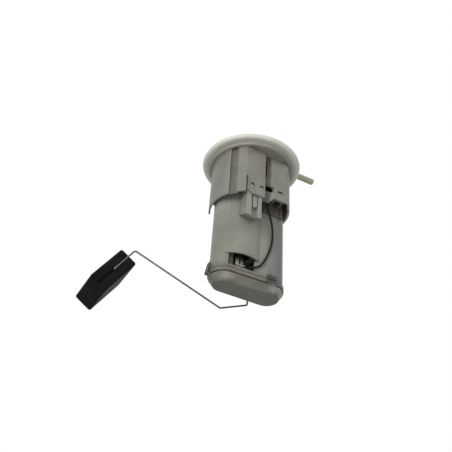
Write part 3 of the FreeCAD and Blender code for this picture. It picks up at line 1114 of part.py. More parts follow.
def electrics():
    half, prong = s.groundWide / 2, s.clipProng
    deep = (s.groundY - s.clipDeep / 2, s.groundY + s.clipDeep / 2)
    left, right = s.groundX - half - prong, s.groundX + half + prong
    base = block("clip_base", (s.clipLeft, right), deep, (s.clipBottom, s.clipBase))
    prongs = [block("clip_prong_left", (left, left + prong), deep, (s.clipBase, s.clipTop)),
              block("clip_prong_right", (right - prong, right), deep, (s.clipBase, s.clipTop))]
    barrel = rod("clip_barrel", s.crimpRadius, right - beyond, s.groundY, s.crimpZ, s.crimpLong + beyond, "x")
    notch = block("clip_notch", (s.groundX - s.clipNotch / 2, s.groundX + s.clipNotch / 2),
                  (deep[0] - beyond, deep[1] + beyond), (s.crimpZ, s.clipBase + beyond))
    keep("ground_clip", less("ground_clip", joined("clip_solid", base, *prongs, barrel), notch))
    leadStart = right + s.crimpLong
    keep("ground_wire", freeShape("ground_wire", bentTube([
        (leadStart, s.groundY, s.crimpZ), (leadStart + 2.5, s.groundY, s.crimpZ), (-5.5, -18.6, -154.4),
        (2.4, -18.6, -151.1), (6.6, -18.6, -148.1), (10.7, -18.6, -142.0), (14.2, -18.6, -135.3),
        (18.6, -18.7, -123.3), (21.0, -19.0, -112.0), (21.2, -19.6, -102.6), (20.2, -20.4, -94.3),
        (18.3, -21.3, -85.8), (15.8, -22.0, -80.4), (13.8, -22.6, -74.3), (10.0, -25.0, -68.9),
        (6.0, -27.0, -58.0), (-3.0, -26.6, -44.0), (-8.0, -18.0, -32.0), (-10.0, -6.0, -25.0),
        (s.socketX + s.pinPitch, s.socketY, s.plugBottom - 4),
        (s.socketX + s.pinPitch, s.socketY, s.plugBottom)], s.leadRadius)))
    plug = block("plug_block", (s.socketX - s.plugLong / 2, s.socketX + s.plugLong / 2),
                 (s.socketY - s.plugWide / 2, s.socketY + s.plugWide / 2), (s.plugBottom, s.plugTop))
    keep("wire_plug", less("wire_plug", plug, *plugPins("plug_slot", s.plugGap, s.pinBottom, s.plugTop + beyond)))
    supply = []
    for number, (side, shift) in enumerate(((-1, -1.5), (1, -0.5))):
        terminalX = s.pumpX + s.terminalSpread * side
        plugX = s.socketX + s.pinPitch * shift
        supply.append(freeShape(f"supply_wire{number}", bentTube([
            (plugX, s.socketY - 3, s.plugBottom), (plugX, s.socketY - 3, s.plugBottom - 7),
            (terminalX, s.terminalY, s.terminalTop + 9),
            (terminalX, s.terminalY, s.terminalTop)], s.thinLeadRadius)))
    keep("supply_wires", together("supply_wires", *supply))
    sender = []
    for number, side in enumerate((-1, 1)):
        terminalX = s.pivotX - 7.5 + 2.5 * side
        sender.append(freeShape(f"sender_wire{number}", bentTube([
            (s.socketX - 4 + 3 * side, s.socketY + 5, s.plugBottom),
            (s.socketX - 4 + 3 * side, s.socketY + 5, s.plugBottom - 4), (-19 + 3 * side, 12, -29),
            (-12 + 3 * side, 23.5, -44), (-2 + 3 * side, 26.2, -59), (terminalX, 25.0, -69),
            (terminalX, s.padFace + s.housingThick + 0.5, s.housingTop + 4),
            (terminalX, s.padFace + s.housingThick + 0.5, s.housingTop)], s.thinLeadRadius)))
    keep("sender_wires", together("sender_wires", *sender))


# Level sender on the back of the canister, float arm and float


def levelSender():
    x, z = s.pivotX, s.pivotZ
    back, face = s.padFace, s.padFace + s.housingThick
    plate = block("housing_plate", (s.housingLeft, s.housingRight), (back, face),
                  (s.housingBottom, s.housingTop))
    boss = rod("pivot_boss", s.bossRadius, x, back, z, s.bossFace - back, "y")
    rimOut = block("card_rim", (s.cardLeft - s.cardRim, s.cardRight + s.cardRim), (face, face + s.cardThick),
                   (s.cardBottom - s.cardRim, s.cardTop + s.cardRim))
    rimIn = block("card_room", (s.cardLeft, s.cardRight), (face, face + s.cardThick + beyond),
                  (s.cardBottom, s.cardTop))
    bore = rod("pivot_bore", s.wireRadius + s.pivotGap, x, back + s.housingThick / 3, z,
               s.bossFace - back + beyond, "y")
    terminals, slots = [], []
    for number, side in enumerate((-1, 1)):
        middle = x - 7.5 + 2.5 * side
        span = ((middle - s.terminalWide / 2, middle + s.terminalWide / 2), (face, face + s.cardThick),
                (s.cardTop, s.housingTop))
        terminals.append(block(f"sender_terminal{number}", *span))
        slots.append(block(f"sender_slot{number}", *span))
    keep("sender_housing", less("sender_housing", joined("housing_solid", plate, boss, rimOut),
                                rimIn, bore, *slots))
    keep("sender_terminals", together("sender_terminals", *terminals))
    keep("resistor_card", block("resistor_card", (s.cardLeft, s.cardRight), (face, face + s.cardThick),
                                (s.cardBottom, s.cardTop)))
    armHolder(x, z)


def armHolder(x, z):
    """The hub that the wire snaps into, with its wiper."""
    hub = rod("hub_disc", s.hubRadius, x, s.hubFace, z, s.hubBack - s.hubFace, "y")
    leg = block("hub_leg", (x - s.legHalf, x + s.legHalf), (s.hubFace, s.hubBack), (s.legBottom, z))
    channel = s.wireRadius + s.wireGap
    cuts = [rod("hub_shaft_hole", channel, x, s.hubFace - beyond, z, s.armY - s.hubFace + beyond, "y"),
            block("hub_wire_room", (x - channel, x + channel), (s.armY - channel, s.armY + channel),
                  (s.legBottom - beyond, z + channel)),
            block("hub_bend_room", (x - channel, x + channel),
                  (s.armY - s.wireBend - channel / 2, s.armY + channel),
                  (z - s.wireBend - channel / 2, z + channel))]
    openings = ((s.bridgeHigh, z + channel), (s.bridgeLow, s.bridgeHigh - s.bridgeTall),
                (s.legBottom - beyond, s.bridgeLow - s.bridgeTall))
    for number, (low, high) in enumerate(openings):
        cuts.append(block(f"hub_opening{number}", (x - channel, x + channel),
                          (s.armY + channel / 2, s.hubBack + beyond), (low, high)))
    keep("arm_holder", less("arm_holder", joined("hub_solid", hub, leg), *cuts))
    reach = s.hubFace - s.wiperThick - (s.padFace + s.housingThick + s.cardThick + s.pivotGap)
    tips = [rod(f"wiper_tip{number}", s.wiperThick, s.wiperHalf * side, -reach,
                s.wiperOuter - s.wiperHalf, reach, "y") for number, side in enumerate((-0.6, 0.6))]
    blade = less("wiper_blade", block("wiper_strip", (-s.wiperHalf, s.wiperHalf), (0, s.wiperThick),
                                      (s.wiperInner, s.wiperOuter)),
                 block("wiper_slot", (-s.wiperSlot / 2, s.wiperSlot / 2), (-beyond, s.wiperThick + beyond),
                       (s.wiperOuter * 0.55, s.wiperOuter + beyond)))
    blade = joined("wiper_fingers", blade, *tips)
    blade.Placement = Placement(Vector(), Rotation(Vector(0, 1, 0), -s.wiperTilt.number))
    place(blade, x, s.hubFace - s.wiperThick, z)
    keep("wiper", blade)


def floatArm():
    y = s.armY
    shaftEnd = s.padFace + s.housingThick
    keep("float_arm", freeShape("float_arm", bentTube([
        (s.pivotX, shaftEnd, s.pivotZ), (s.pivotX, y, s.pivotZ), (s.pivotX, y, s.kneeLowZ),
        (s.elbowX, y, s.elbowZ), (s.shoulderX, y, s.shoulderZ), (s.floatX, y, s.floatZ),
        (s.floatX, s.wireEnd, s.floatZ)], s.wireRadius, s.wireBend)))
    half, deep, thick = s.floatLong / 2, s.floatDeep, s.floatThick / 2
    body = newBody("float_body")
    plan = sketchOn(body, "XZ_Plane", "float_plan")
    drawBox(plan, -half, half, -thick, thick)
    pad = padded(body, plan, deep, "float_pad")
    pad.Reversed = True
    softened(body, pad, s.floatRound, "float_round", lambda edge: True)
    groove = block("float_groove", (-half - beyond, s.wireBend), (-beyond, s.grooveDeep),
                   (-s.grooveWide / 2, s.grooveWide / 2))
    grooveRest = block("float_groove_rest", (0, half + beyond), (-beyond, s.grooveDeep),
                       (-s.grooveWide / 2, s.grooveWide / 2))
    hole = rod("float_hole", s.wireRadius, 0, -beyond, 0, deep + beyond * 2, "y")
    seat = rod("float_bend_room", s.grooveWide / 2, 0, -beyond, 0, s.wireBend + s.wireRadius + beyond, "y")
    bendRoom = block("float_bend_slot", (-s.wireBend, 0), (-beyond, s.wireBend + s.wireRadius),
                     (-s.grooveWide / 2, s.grooveWide / 2))
    block_ = less("float_block", body, groove, grooveRest, hole, seat, bendRoom)
    block_.Placement = Placement(Vector(), Rotation(Vector(0, 1, 0), 180 - s.floatTilt.number))
    place(block_, s.floatX, s.floatFace, s.floatZ)
    keep("float_block", block_)
    clipY = s.floatFace + deep
    keep("float_clip", less("float_clip", rod("clip_disc", s.clipRadius, s.floatX, clipY, s.floatZ,
                                              s.clipThick, "y"),
                            rod("clip_hole", s.wireRadius, s.floatX, clipY - beyond, s.floatZ,
                                s.clipThick + beyond * 2, "y")))


tankFlange()
outletElbow()
bracketSkirt()
canister()
bottomCap()
caseLid()
pumpUnit()
regulator()
filterUnit()
electrics()
levelSender()
floatArm()
doc.recompute()

failed = [thing.Name for thing in doc.Objects if "Invalid" in thing.State or "Error" in thing.State]
if failed:
    raise RuntimeError(f"these objects failed: {failed}")
for label, thing in nodes.items():
    if thing.Shape.isNull() or not thing.Shape.isValid() or not thing.Shape.Solids:
        raise RuntimeError(f"{label} has no valid solid")
for label, thing in nodes.items():
    thing.Shape.exportStep(f"parts/{label}.step")
    print(label, len(thing.Shape.Solids), round(thing.Shape.Volume / 1000, 2), "cm3")
print(len(nodes), "nodes")
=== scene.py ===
import math

import bpy
from mathutils import Matrix, Vector

# In-tank fuel pump module, seen from below as in the photograph. Metres, in the CAD model's frame:
# the origin is the centre of the flange rim's underside, +Z is up and +X is the nipple's way.

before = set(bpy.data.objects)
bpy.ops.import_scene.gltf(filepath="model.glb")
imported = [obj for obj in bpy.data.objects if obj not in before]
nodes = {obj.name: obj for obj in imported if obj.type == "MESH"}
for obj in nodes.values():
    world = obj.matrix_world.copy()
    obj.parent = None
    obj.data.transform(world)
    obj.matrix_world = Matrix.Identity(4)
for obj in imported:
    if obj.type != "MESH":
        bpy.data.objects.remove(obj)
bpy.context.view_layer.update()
print("frame loaded:", len(nodes), "nodes")

# Camera

cameraLook = {
    "lens": 49.38,                           # mm
    "sensor": 36.0,                          # mm
    "place": (-0.2785, -0.5120, -0.5085),    # in front, to the left and below
    "right": (0.8776, -0.4758, 0.0594),      # the picture's right
    "up": (-0.3219, -0.4927, 0.8084),        # the picture's up
}


def makeCamera(look):
    lens = bpy.data.cameras.new("camera")
    lens.lens = look["lens"]
    lens.sensor_width = look["sensor"]
    lens.clip_start = 0.01
    camera = bpy.data.objects.new("camera", lens)
    bpy.context.scene.collection.objects.link(camera)
    right, up = Vector(look["right"]).normalized(), Vector(look["up"])
    back = right.cross(up).normalized()
    up = back.cross(right)
    turn = Matrix((right, up, back)).transposed().to_4x4()
    camera.matrix_world = Matrix.Translation(look["place"]) @ turn
    bpy.context.scene.camera = camera


makeCamera(cameraLook)

# Floor, room and lamps

floorLook = {
    "height": -0.78,             # below the camera, which looks up at the module
    "size": 60.0,
    "colour": (0.80, 0.80, 0.79, 1.0),
    "roughness": 0.9,
}


def makeFloor(look):
    half = look["size"] / 2
    mesh = bpy.data.meshes.new("floor")
    corners = [(-half, -half, 0), (half, -half, 0), (half, half, 0), (-half, half, 0)]
    mesh.from_pydata(corners, [], [(0, 1, 2, 3)])
    floor = bpy.data.objects.new("floor", mesh)
    floor.location.z = look["height"]
    bpy.context.scene.collection.objects.link(floor)
    material = bpy.data.materials.new("paleFloor")
    material.use_nodes = True
    shader = material.node_tree.nodes["Principled BSDF"]
    shader.inputs["Base Color"].default_value = look["colour"]
    shader.inputs["Roughness"].default_value = look["roughness"]
    mesh.materials.append(material)


roomLook = {
    "skyLight": 0.42,            # what the world gives to the object
    "background": 1.0,           # what the camera, metal and glass see of it
}


def makeRoom(look):
    world = bpy.data.worlds.new("softRoom")
    world.use_nodes = True
    bpy.context.scene.world = world
    tree = world.node_tree
    tree.nodes.clear()
    seen = tree.nodes.new("ShaderNodeBackground")
    seen.inputs["Strength"].default_value = look["background"]
    sky = tree.nodes.new("ShaderNodeBackground")
    sky.inputs["Strength"].default_value = look["skyLight"]
    rays = tree.nodes.new("ShaderNodeLightPath")
    either = rays.outputs["Is Camera Ray"]
    for kind in ("Is Glossy Ray", "Is Transmission Ray"):
        larger = tree.nodes.new("ShaderNodeMath")
        larger.operation = "MAXIMUM"
        tree.links.new(either, larger.inputs[0])
        tree.links.new(rays.outputs[kind], larger.inputs[1])
        either = larger.outputs[0]
    for background in (seen, sky):
        background.inputs["Color"].default_value = (1, 1, 1, 1)
    pick = tree.nodes.new("ShaderNodeMixShader")
    tree.links.new(either, pick.inputs["Fac"])
    tree.links.new(sky.outputs[0], pick.inputs[1])
    tree.links.new(seen.outputs[0], pick.inputs[2])
    output = tree.nodes.new("ShaderNodeOutputWorld")
    tree.links.new(pick.outputs[0], output.inputs["Surface"])


lampAim = (-0.01, 0.0, -0.08)
lampLooks = [
    {"name": "keyLamp", "place": (-1.20, -1.00, 0.05), "size": 1.0, "power": 12.5},
    {"name": "topLamp", "place": (0.15, 0.25, 1.45), "size": 1.1, "power": 7.0},
    {"name": "lowLamp", "place": (-0.30, -1.05, -0.62), "size": 0.9, "power": 2.4},
]


def makeLamp(look):
    lamp = bpy.data.lights.new(look["name"], "AREA")
    lamp.shape = "DISK"
    lamp.size = look["size"]
    lamp.energy = look["power"]
    thing = bpy.data.objects.new(look["name"], lamp)
    bpy.context.scene.collection.objects.link(thing)
    place = Vector(look["place"])
    thing.location = place
    thing.rotation_euler = (Vector(lampAim) - place).to_track_quat("-Z", "Y").to_euler()


bpy.context.scene.view_settings.view_transform = "Standard"
makeFloor(floorLook)
makeRoom(roomLook)
for lampLook in lampLooks:
    makeLamp(lampLook)
print("camera, floor and lamps made")

# Tools for materials: each call adds nodes and gives back the socket that the next one reads. A mark is
# dirt, painted shade, painted light or a painted highlight, or just a darker or lighter place. Its limits
# name an axis, or R for the distance from the module's axis, then where the mark begins and where it is
# full, in metres.

mixColourInputs = (6, 7)      # where a mix node keeps its two colours
mixColourOutput = 2
ragOut = 0.0004               # how far a mark's edge wanders
ragPatch = 170.0
grainPatch = 3200.0           # the fine grain of moulded plastic
grainDepth = 0.00006
plasticSpecular = 0.4
metalRipple = 0.00008
rubberGrainDepth = 0.00012


class Surface:
    def __init__(self, name, metallic=0.0, specular=0.5):
        self.material = bpy.data.materials.new(name)
        self.material.use_nodes = True
        self.tree = self.material.node_tree
        self.tree.nodes.clear()
        self.shader = self.add("ShaderNodeBsdfPrincipled")
        output = self.add("ShaderNodeOutputMaterial")
        self.join(self.shader.outputs["BSDF"], output.inputs["Surface"])
        self.put("Metallic", metallic)
        self.put("Specular IOR Level", specular)
        self.where = self.add("ShaderNodeTexCoord").outputs["Object"]
        self.relief = None

    def add(self, kind, **settings):
        node = self.tree.nodes.new(kind)
        for key, value in settings.items():
            setattr(node, key, value)
        return node

    def join(self, source, target):
        self.tree.links.new(source, target)

    def feed(self, socket, value):      # the value is another node's socket, or a plain number or colour
        if isinstance(value, bpy.types.NodeSocket):
            self.join(value, socket)
        else:
            socket.default_value = value

    def put(self, name, value):
        self.feed(self.shader.inputs[name], value)

    def stretched(self, scale):
        node = self.add("ShaderNodeMapping")
        self.join(self.where, node.inputs["Vector"])
        node.inputs["Scale"].default_value = scale
        return node.outputs["Vector"]

    def noise(self, scale, detail=4.0, rough=0.55, stretch=None):
        node = self.add("ShaderNodeTexNoise")
        self.join(self.stretched(stretch) if stretch else self.where, node.inputs["Vector"])
        node.inputs["Scale"].default_value = scale
        node.inputs["Detail"].default_value = detail
        node.inputs["Roughness"].default_value = rough
        return node.outputs["Fac"]

    def axis(self, letter):
        node = self.add("ShaderNodeSeparateXYZ")
        self.join(self.where, node.inputs[0])
        return node.outputs[letter]

    def between(self, value, low, high, lowOut=0.0, highOut=1.0, smooth=True):
        node = self.add("ShaderNodeMapRange")
        node.interpolation_type = "SMOOTHSTEP" if smooth else "LINEAR"
        self.feed(node.inputs["Value"], value)
        for key, number in (("From Min", low), ("From Max", high), ("To Min", lowOut), ("To Max", highOut)):
            node.inputs[key].default_value = number
        return node.outputs["Result"]

    def reckoned(self, first, second, operation="MULTIPLY"):
        node = self.add("ShaderNodeMath", operation=operation)
        self.feed(node.inputs[0], first)
        self.feed(node.inputs[1], second)
        return node.outputs[0]

    def mixed(self, share, first, second):      # two colours, by a share of the second
        node = self.add("ShaderNodeMix", data_type="RGBA")
        self.feed(node.inputs["Factor"], share)
        for place, value in zip(mixColourInputs, (first, second)):
            solid = not isinstance(value, bpy.types.NodeSocket)
            self.feed(node.inputs[place], (*value, 1.0) if solid else value)
        return node.outputs[mixColourOutput]

    def radius(self):      # distance from the module's axis
        squares = [self.reckoned(self.axis(letter), self.axis(letter)) for letter in "XY"]
        return self.reckoned(self.reckoned(squares[0], squares[1], "ADD"), 0.5, "POWER")

    def region(self, limits, ragged):      # a soft-edged part of the piece, from its position
        share = 1.0
        shift = self.between(self.noise(ragPatch, 3.0, 0.6), 0.3, 0.7, -ragged, ragged, False)
        for letter, start, full in limits:
            value = self.radius() if letter == "R" else self.axis(letter)
            value = self.reckoned(value, shift, "ADD")
            low, high = sorted((start, full))
            atLow, atHigh = (0.0, 1.0) if full > start else (1.0, 0.0)
            part = self.between(value, low, high, atLow, atHigh)
            share = self.reckoned(part, share)
        return share

    def marked(self, colour, marks):      # each mark is laid over the last
        for mark in marks:
            share = self.region(mark["limits"], mark.get("ragged", ragOut))
            colour = self.mixed(self.reckoned(share, mark["share"]), colour, mark["colour"])
        return colour

    def bumped(self, height, strength, distance):      # laid over the relief made so far
        node = self.add("ShaderNodeBump")
        node.inputs["Strength"].default_value = strength
        node.inputs["Distance"].default_value = distance
        self.join(height, node.inputs["Height"])
        if self.relief:
            self.join(self.relief, node.inputs["Normal"])
        self.relief = node.outputs["Normal"]
        self.put("Normal", self.relief)


def mouldedPlastic(name, look):
    skin = Surface(name, specular=plasticSpecular)
    broad = skin.noise(look["patch"], 3.0, 0.55)
    fine = skin.noise(look["patch"] * 9, 4.0, 0.6)
    colour = skin.mixed(skin.between(broad, 0.35, 0.68), look["colour"], look["second"])
    if "cool" in look:        # the grey turns darker and cooler towards the filter chamber's side
        share = skin.between(skin.axis("X"), look["coolFrom"], look["coolTo"])
        colour = skin.mixed(share, colour, look["cool"])
    colour = skin.marked(colour, look.get("marks", []))
    streaks = skin.noise(look["patch"] * 5, 3.0, 0.6, stretch=(1.0, 1.0, look.get("streakStretch", 0.12)))
    colour = skin.mixed(skin.between(streaks, 0.55, 0.80, 0.0, look["stainShare"]), colour, look["stain"])
    colour = skin.mixed(skin.between(fine, 0.52, 0.78, 0.0, look["speckShare"]), colour, look["speck"])
    skin.put("Base Color", colour)
    smoothest, dullest = look["roughness"] - 0.07, look["roughness"] + 0.09
    skin.put("Roughness", skin.between(fine, 0.25, 0.75, smoothest, dullest))
    skin.bumped(skin.noise(look["patch"] * 2.2, 2.0, 0.5), 0.35, look.get("ripple", 0.0006))
    skin.bumped(skin.noise(grainPatch, 2.0, 0.5), 0.22, grainDepth)
    return skin.material


def metal(name, look):
    skin = Surface(name, metallic=1.0)
    broad = skin.noise(look["patch"], 3.0, 0.55)
    fine = skin.noise(look["patch"] * 8, 4.0, 0.65)
    colour = skin.mixed(skin.between(broad, 0.3, 0.7), look["colour"], look["second"])
    colour = skin.marked(colour, look.get("marks", []))
    colour = skin.mixed(skin.between(fine, 0.55, 0.8, 0.0, look["stainShare"]), colour, look["stain"])
    skin.put("Base Color", colour)
    skin.put("Roughness", skin.between(fine, 0.2, 0.8, look["roughness"] - 0.08, look["roughness"] + 0.12))
    skin.bumped(fine, 0.25, metalRipple)
    return skin.material


def rubberSkin(name, look):
    skin = Surface(name, specular=look.get("specular", 0.35))
    broad = skin.noise(look["patch"], 3.0, 0.6)
    grain = skin.noise(look["grain"], 3.0, 0.7)
    colour = skin.mixed(skin.between(broad, 0.35, 0.7), look["colour"], look["second"])
    colour = skin.mixed(skin.between(grain, 0.58, 0.8, 0.0, look["dustShare"]), colour, look["dust"])
    skin.put("Base Color", colour)
    skin.put("Roughness", skin.between(grain, 0.2, 0.8, look["roughness"] - 0.1, look["roughness"] + 0.1))
    skin.bumped(broad, 0.3, look["ripple"])
    skin.bumped(grain, 0.4, rubberGrainDepth)
    return skin.material


plasticLooks = {
    "flangePom": {
        "colour": (0.680, 0.685, 0.620), "second": (0.61, 0.61, 0.540), "stain": (0.38, 0.36, 0.29),
        "stainShare": 0.18, "speck": (0.40, 0.38, 0.31), "speckShare": 0.12, "patch": 28.0,
        "roughness": 0.42, "ripple": 0.0004, "streakStretch": 0.8, "marks": [
            {"limits": [("R", 0.0580, 0.0540), ("Z", 0.0012, 0.0002)],
             "share": 0.50, "colour": (0.33, 0.325, 0.280)},    # painted shade on the rim's underside, deepening inwards from the pale outer bead
            {"limits": [("R", 0.0545, 0.0500), ("Z", 0.0012, 0.0002)],
             "share": 0.75, "colour": (0.215, 0.208, 0.172)}]},    # painted shade round the collar
    "elbowNylon": {
        "colour": (0.36, 0.36, 0.275), "second": (0.31, 0.31, 0.235), "stain": (0.24, 0.23, 0.16),
        "stainShare": 0.25, "speck": (0.30, 0.29, 0.20), "speckShare": 0.15, "patch": 60.0,
        "roughness": 0.40, "ripple": 0.0003, "streakStretch": 1.0},
    "skirtPom": {
        "colour": (0.240, 0.236, 0.206), "second": (0.195, 0.190, 0.160), "stain": (0.12, 0.11, 0.085),
        "stainShare": 0.40, "speck": (0.33, 0.33, 0.30), "speckShare": 0.20, "patch": 34.0,
        "roughness": 0.44, "ripple": 0.0007, "marks": [
            {"limits": [("X", -0.0402, -0.0388), ("X", -0.0340, -0.0352), ("Y", -0.020, -0.022)],
             "share": 0.72, "colour": (0.085, 0.082, 0.066)},    # painted shade in the channel
            {"limits": [("X", -0.0445, -0.0432), ("X", -0.0404, -0.0410), ("Y", -0.016, -0.018)],
             "share": 0.50, "colour": (0.310, 0.308, 0.275)},    # painted highlight along its edge
            {"limits": [("X", -0.0030, -0.0014), ("X", 0.0110, 0.0060), ("Y", -0.0386, -0.0372),
                        ("Y", -0.0250, -0.0280)],
             "share": 0.85, "colour": (0.066, 0.058, 0.046), "ragged": 0.0010},    # painted shade in the recess
            {"limits": [("R", 0.0470, 0.0464), ("X", 0.0240, 0.0300), ("Y", -0.0338, -0.0310),
                        ("Z", -0.0400, -0.0460)],
             "share": 0.90, "colour": (0.52, 0.48, 0.39)},    # painted light on the right inner wall
            {"limits": [("X", -0.0370, -0.0430)],
             "share": 0.35, "colour": (0.12, 0.115, 0.095)},    # painted shade on the left side
            {"limits": [("Z", -0.0120, -0.0035), ("Y", 0.010, 0.000)],
             "share": 0.35, "colour": (0.11, 0.10, 0.08), "ragged": 0.0012}]},    # painted shade under the rim
    "canisterPom": {
        "colour": (0.262, 0.264, 0.226), "second": (0.210, 0.210, 0.176), "stain": (0.13, 0.12, 0.09),
        "stainShare": 0.40, "speck": (0.34, 0.34, 0.31), "speckShare": 0.22, "patch": 30.0,
        "roughness": 0.40, "ripple": 0.0008, "cool": (0.128, 0.142, 0.142), "coolFrom": 0.014,
        "coolTo": 0.036, "marks": [
            {"limits": [("X", -0.0250, -0.0232), ("Y", -0.0250, -0.0300), ("Z", -0.1010, -0.0995)],
             "share": 0.55, "colour": (0.330, 0.328, 0.290)},    # painted light on the boss's front faces
            {"limits": [("X", -0.0180, -0.0360), ("Z", -0.0850, -0.1200)],
             "share": 0.45, "colour": (0.150, 0.147, 0.122), "ragged": 0.0030},    # painted shade low on the left
            {"limits": [("Z", -0.1500, -0.1600)],
             "share": 0.55, "colour": (0.100, 0.096, 0.080), "ragged": 0.0020},    # darker near the collar
            {"limits": [("Z", -0.1578, -0.1590), ("Z", -0.1612, -0.1600)],
             "share": 0.66, "colour": (0.028, 0.025, 0.018), "ragged": 0.0005},    # dirt and painted shade along its ledge
            {"limits": [("Z", -0.1634, -0.1646)],
             "share": 0.85, "colour": (0.020, 0.018, 0.014)},    # the seam
            {"limits": [("X", 0.0040, 0.0020), ("X", -0.0330, -0.0310), ("Y", -0.0142, -0.0132),
                        ("Y", 0.0040, 0.0000), ("Z", -0.1395, -0.1415)],
             "share": 0.85, "colour": (0.050, 0.048, 0.040)},    # painted shade inside the window
            {"limits": [("X", 0.0070, 0.0085), ("Y", -0.0350, -0.0340), ("Y", -0.0150, -0.0165),
                        ("Z", -0.0742, -0.0728)],
             "share": 0.80, "colour": (0.075, 0.067, 0.054), "ragged": 0.0008}]},    # painted shade behind the tab
    "capPom": {
        "colour": (0.175, 0.172, 0.150), "second": (0.138, 0.134, 0.114), "stain": (0.09, 0.08, 0.06),
        "stainShare": 0.40, "speck": (0.27, 0.26, 0.23), "speckShare": 0.25, "patch": 34.0,
        "roughness": 0.42, "ripple": 0.0008, "streakStretch": 0.6, "marks": [
            {"limits": [("X", 0.0140, 0.0300), ("Y", 0.0000, -0.0100), ("Z", -0.1735, -0.1712)],
             "share": 0.85, "colour": (0.300, 0.296, 0.262), "ragged": 0.0020},    # lighter at the near right end
            {"limits": [("X", -0.0390, -0.0330), ("X", -0.0180, -0.0240), ("Y", -0.0060, -0.0100),
                        ("Z", -0.1725, -0.1705)],
             "share": 0.60, "colour": (0.330, 0.300, 0.270), "ragged": 0.0020},    # painted highlight on the near left corner
            {"limits": [("Z", -0.1725, -0.1745)],
             "share": 0.45, "colour": (0.085, 0.080, 0.066), "ragged": 0.0010},    # painted shade on the underside
            {"limits": [("Z", -0.1664, -0.1652)],
             "share": 0.85, "colour": (0.020, 0.018, 0.014)}]},    # the seam
    "darkNylon": {
        "colour": (0.020, 0.020, 0.020), "second": (0.014, 0.014, 0.014), "stain": (0.03, 0.03, 0.028),
        "stainShare": 0.3, "speck": (0.03, 0.03, 0.03), "speckShare": 0.2, "patch": 60.0,
        "roughness": 0.5},
    "holderPom": {
        "colour": (0.52, 0.52, 0.48), "second": (0.46, 0.46, 0.42), "stain": (0.35, 0.33, 0.28),
        "stainShare": 0.2, "speck": (0.36, 0.35, 0.31), "speckShare": 0.15, "patch": 50.0,
        "roughness": 0.45, "ripple": 0.0003},
    "paperMedia": {
        "colour": (0.48, 0.41, 0.26), "second": (0.42, 0.35, 0.21), "stain": (0.25, 0.20, 0.12),
        "stainShare": 0.3, "speck": (0.3, 0.25, 0.16), "speckShare": 0.3, "patch": 60.0,
        "roughness": 0.8, "ripple": 0.0003},
    "wovenNylon": {
        "colour": (0.40, 0.40, 0.35), "second": (0.34, 0.34, 0.30), "stain": (0.22, 0.20, 0.15),
        "stainShare": 0.3, "speck": (0.25, 0.24, 0.2), "speckShare": 0.3, "patch": 60.0,
        "roughness": 0.75, "ripple": 0.0004},
    "inkedCeramic": {
        "colour": (0.05, 0.09, 0.07), "second": (0.04, 0.07, 0.05), "stain": (0.02, 0.03, 0.02),
        "stainShare": 0.3, "speck": (0.12, 0.16, 0.13), "speckShare": 0.3, "patch": 120.0,
        "roughness": 0.3, "ripple": 0.0001},
}
metalLooks = {
    "armSteel": {
        "colour": (0.20, 0.20, 0.19), "second": (0.13, 0.13, 0.125), "stain": (0.07, 0.065, 0.05),
        "stainShare": 0.5, "patch": 90.0, "roughness": 0.34},
    "tinnedBrass": {
        "colour": (0.38, 0.36, 0.31), "second": (0.24, 0.225, 0.19), "stain": (0.12, 0.10, 0.06),
        "stainShare": 0.55, "patch": 240.0, "roughness": 0.30, "marks": [
            {"limits": [("Z", -0.1515, -0.1490), ("Z", -0.1300, -0.1350)],
             "share": 0.75, "colour": (0.10, 0.095, 0.075), "ragged": 0.0008}]},    # the prongs darker above the crimp
    "zincSteel": {
        "colour": (0.42, 0.42, 0.40), "second": (0.33, 0.33, 0.31), "stain": (0.2, 0.18, 0.14),
        "stainShare": 0.3, "patch": 80.0, "roughness": 0.38},
    "dieCast": {
        "colour": (0.45, 0.45, 0.45), "second": (0.38, 0.38, 0.38), "stain": (0.2, 0.2, 0.2),
        "stainShare": 0.3, "patch": 90.0, "roughness": 0.5},
    "bronzeMetal": {
        "colour": (0.52, 0.36, 0.17), "second": (0.44, 0.30, 0.14), "stain": (0.2, 0.14, 0.08),
        "stainShare": 0.3, "patch": 120.0, "roughness": 0.4},
    "copperMetal": {
        "colour": (0.60, 0.26, 0.12), "second": (0.50, 0.21, 0.10), "stain": (0.2, 0.1, 0.06),
        "stainShare": 0.3, "patch": 120.0, "roughness": 0.35},
}
rubberLooks = {
    "floatFoam": {
        "colour": (0.005, 0.005, 0.005), "second": (0.009, 0.009, 0.009), "dust": (0.026, 0.026, 0.025),
        "dustShare": 0.2, "patch": 45.0, "grain": 1400.0, "roughness": 0.60, "ripple": 0.0006,
        "specular": 0.07},
    "leadSheath": {
        "colour": (0.006, 0.006, 0.006), "second": (0.009, 0.009, 0.009), "dust": (0.03, 0.03, 0.028),
        "dustShare": 0.2, "patch": 120.0, "grain": 1800.0, "roughness": 0.5, "ripple": 0.0001,
        "specular": 0.15},
    "redSheath": {
        "colour": (0.24, 0.02, 0.015), "second": (0.18, 0.015, 0.012), "dust": (0.2, 0.06, 0.05),
        "dustShare": 0.2, "patch": 120.0, "grain": 1800.0, "roughness": 0.38, "ripple": 0.0001},
    "blueSheath": {
        "colour": (0.015, 0.04, 0.18), "second": (0.012, 0.03, 0.14), "dust": (0.08, 0.1, 0.2),
        "dustShare": 0.2, "patch": 120.0, "grain": 1800.0, "roughness": 0.38, "ripple": 0.0001},
    "fuelHose": {
        "colour": (0.020, 0.020, 0.019), "second": (0.028, 0.028, 0.026), "dust": (0.06, 0.06, 0.055),
        "dustShare": 0.25, "patch": 90.0, "grain": 1600.0, "roughness": 0.55, "ripple": 0.0002},
    "ferriteCore": {
        "colour": (0.03, 0.03, 0.032), "second": (0.04, 0.04, 0.042), "dust": (0.08, 0.08, 0.08),
        "dustShare": 0.3, "patch": 90.0, "grain": 1600.0, "roughness": 0.6, "ripple": 0.0002},
}
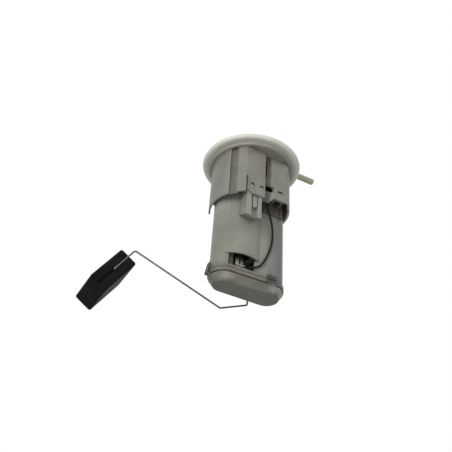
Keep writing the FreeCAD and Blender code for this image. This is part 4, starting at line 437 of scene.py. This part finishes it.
materials = {name: mouldedPlastic(name, look) for name, look in plasticLooks.items()}
materials.update({name: metal(name, look) for name, look in metalLooks.items()})
materials.update({name: rubberSkin(name, look) for name, look in rubberLooks.items()})

nodeFinishes = {
    "flangePom": ["tank_flange"],
    "elbowNylon": ["outlet_elbow"],
    "skirtPom": ["bracket_skirt", "sender_housing", "case_lid", "wire_plug"],
    "canisterPom": ["canister"],
    "capPom": ["bottom_cap"],
    "darkNylon": ["end_cover", "brushes", "strainer_frame", "check_valve", "check_stop", "impeller",
                  "filter_end_plates", "inlet_cover"],
    "holderPom": ["arm_holder"],
    "paperMedia": ["filter_element"],
    "wovenNylon": ["inlet_strainer"],
    "inkedCeramic": ["resistor_card"],
    "armSteel": ["float_arm", "motor_shaft", "float_clip"],
    "tinnedBrass": ["ground_clip", "ground_tab", "connector_pins", "pump_terminals", "sender_terminals"],
    "zincSteel": ["pump_casing", "regulator_can", "regulator_cap", "check_spring", "regulator_spring",
                  "armature_core"],
    "dieCast": ["impeller_ring", "chamber_plate"],
    "bronzeMetal": ["shaft_bushings", "regulator_valve", "wiper"],
    "copperMetal": ["armature_windings", "commutator"],
    "floatFoam": ["float_block"],
    "leadSheath": ["ground_wire"],
    "redSheath": ["supply_wires"],
    "blueSheath": ["sender_wires"],
    "fuelHose": ["outlet_hose", "outlet_seal", "regulator_seal", "pump_cushion"],
    "ferriteCore": ["field_magnets"],
}
sharpAngle = math.radians(32)


def finishNode(name, material):
    mesh = nodes[name].data
    mesh.materials.clear()
    mesh.materials.append(material)
    mesh.shade_smooth()
    mesh.set_sharp_from_angle(angle=sharpAngle)


flangeEdges = {
    "width": 0.0004,                # metres
    "segments": 2,
    "angle": math.radians(40),      # only edges sharper than this
}


def softenEdges(thing, look):
    bevel = thing.modifiers.new("edgeRound", "BEVEL")
    bevel.width = look["width"]
    bevel.segments = look["segments"]
    bevel.limit_method = "ANGLE"
    bevel.angle_limit = look["angle"]
    bevel.harden_normals = True


for finish, names in nodeFinishes.items():
    for name in names:
        finishNode(name, materials[finish])
softenEdges(nodes["tank_flange"], flangeEdges)
unfinished = sorted(set(nodes) - {name for names in nodeFinishes.values() for name in names})
print("materials made, nodes without a finish:", unfinished)
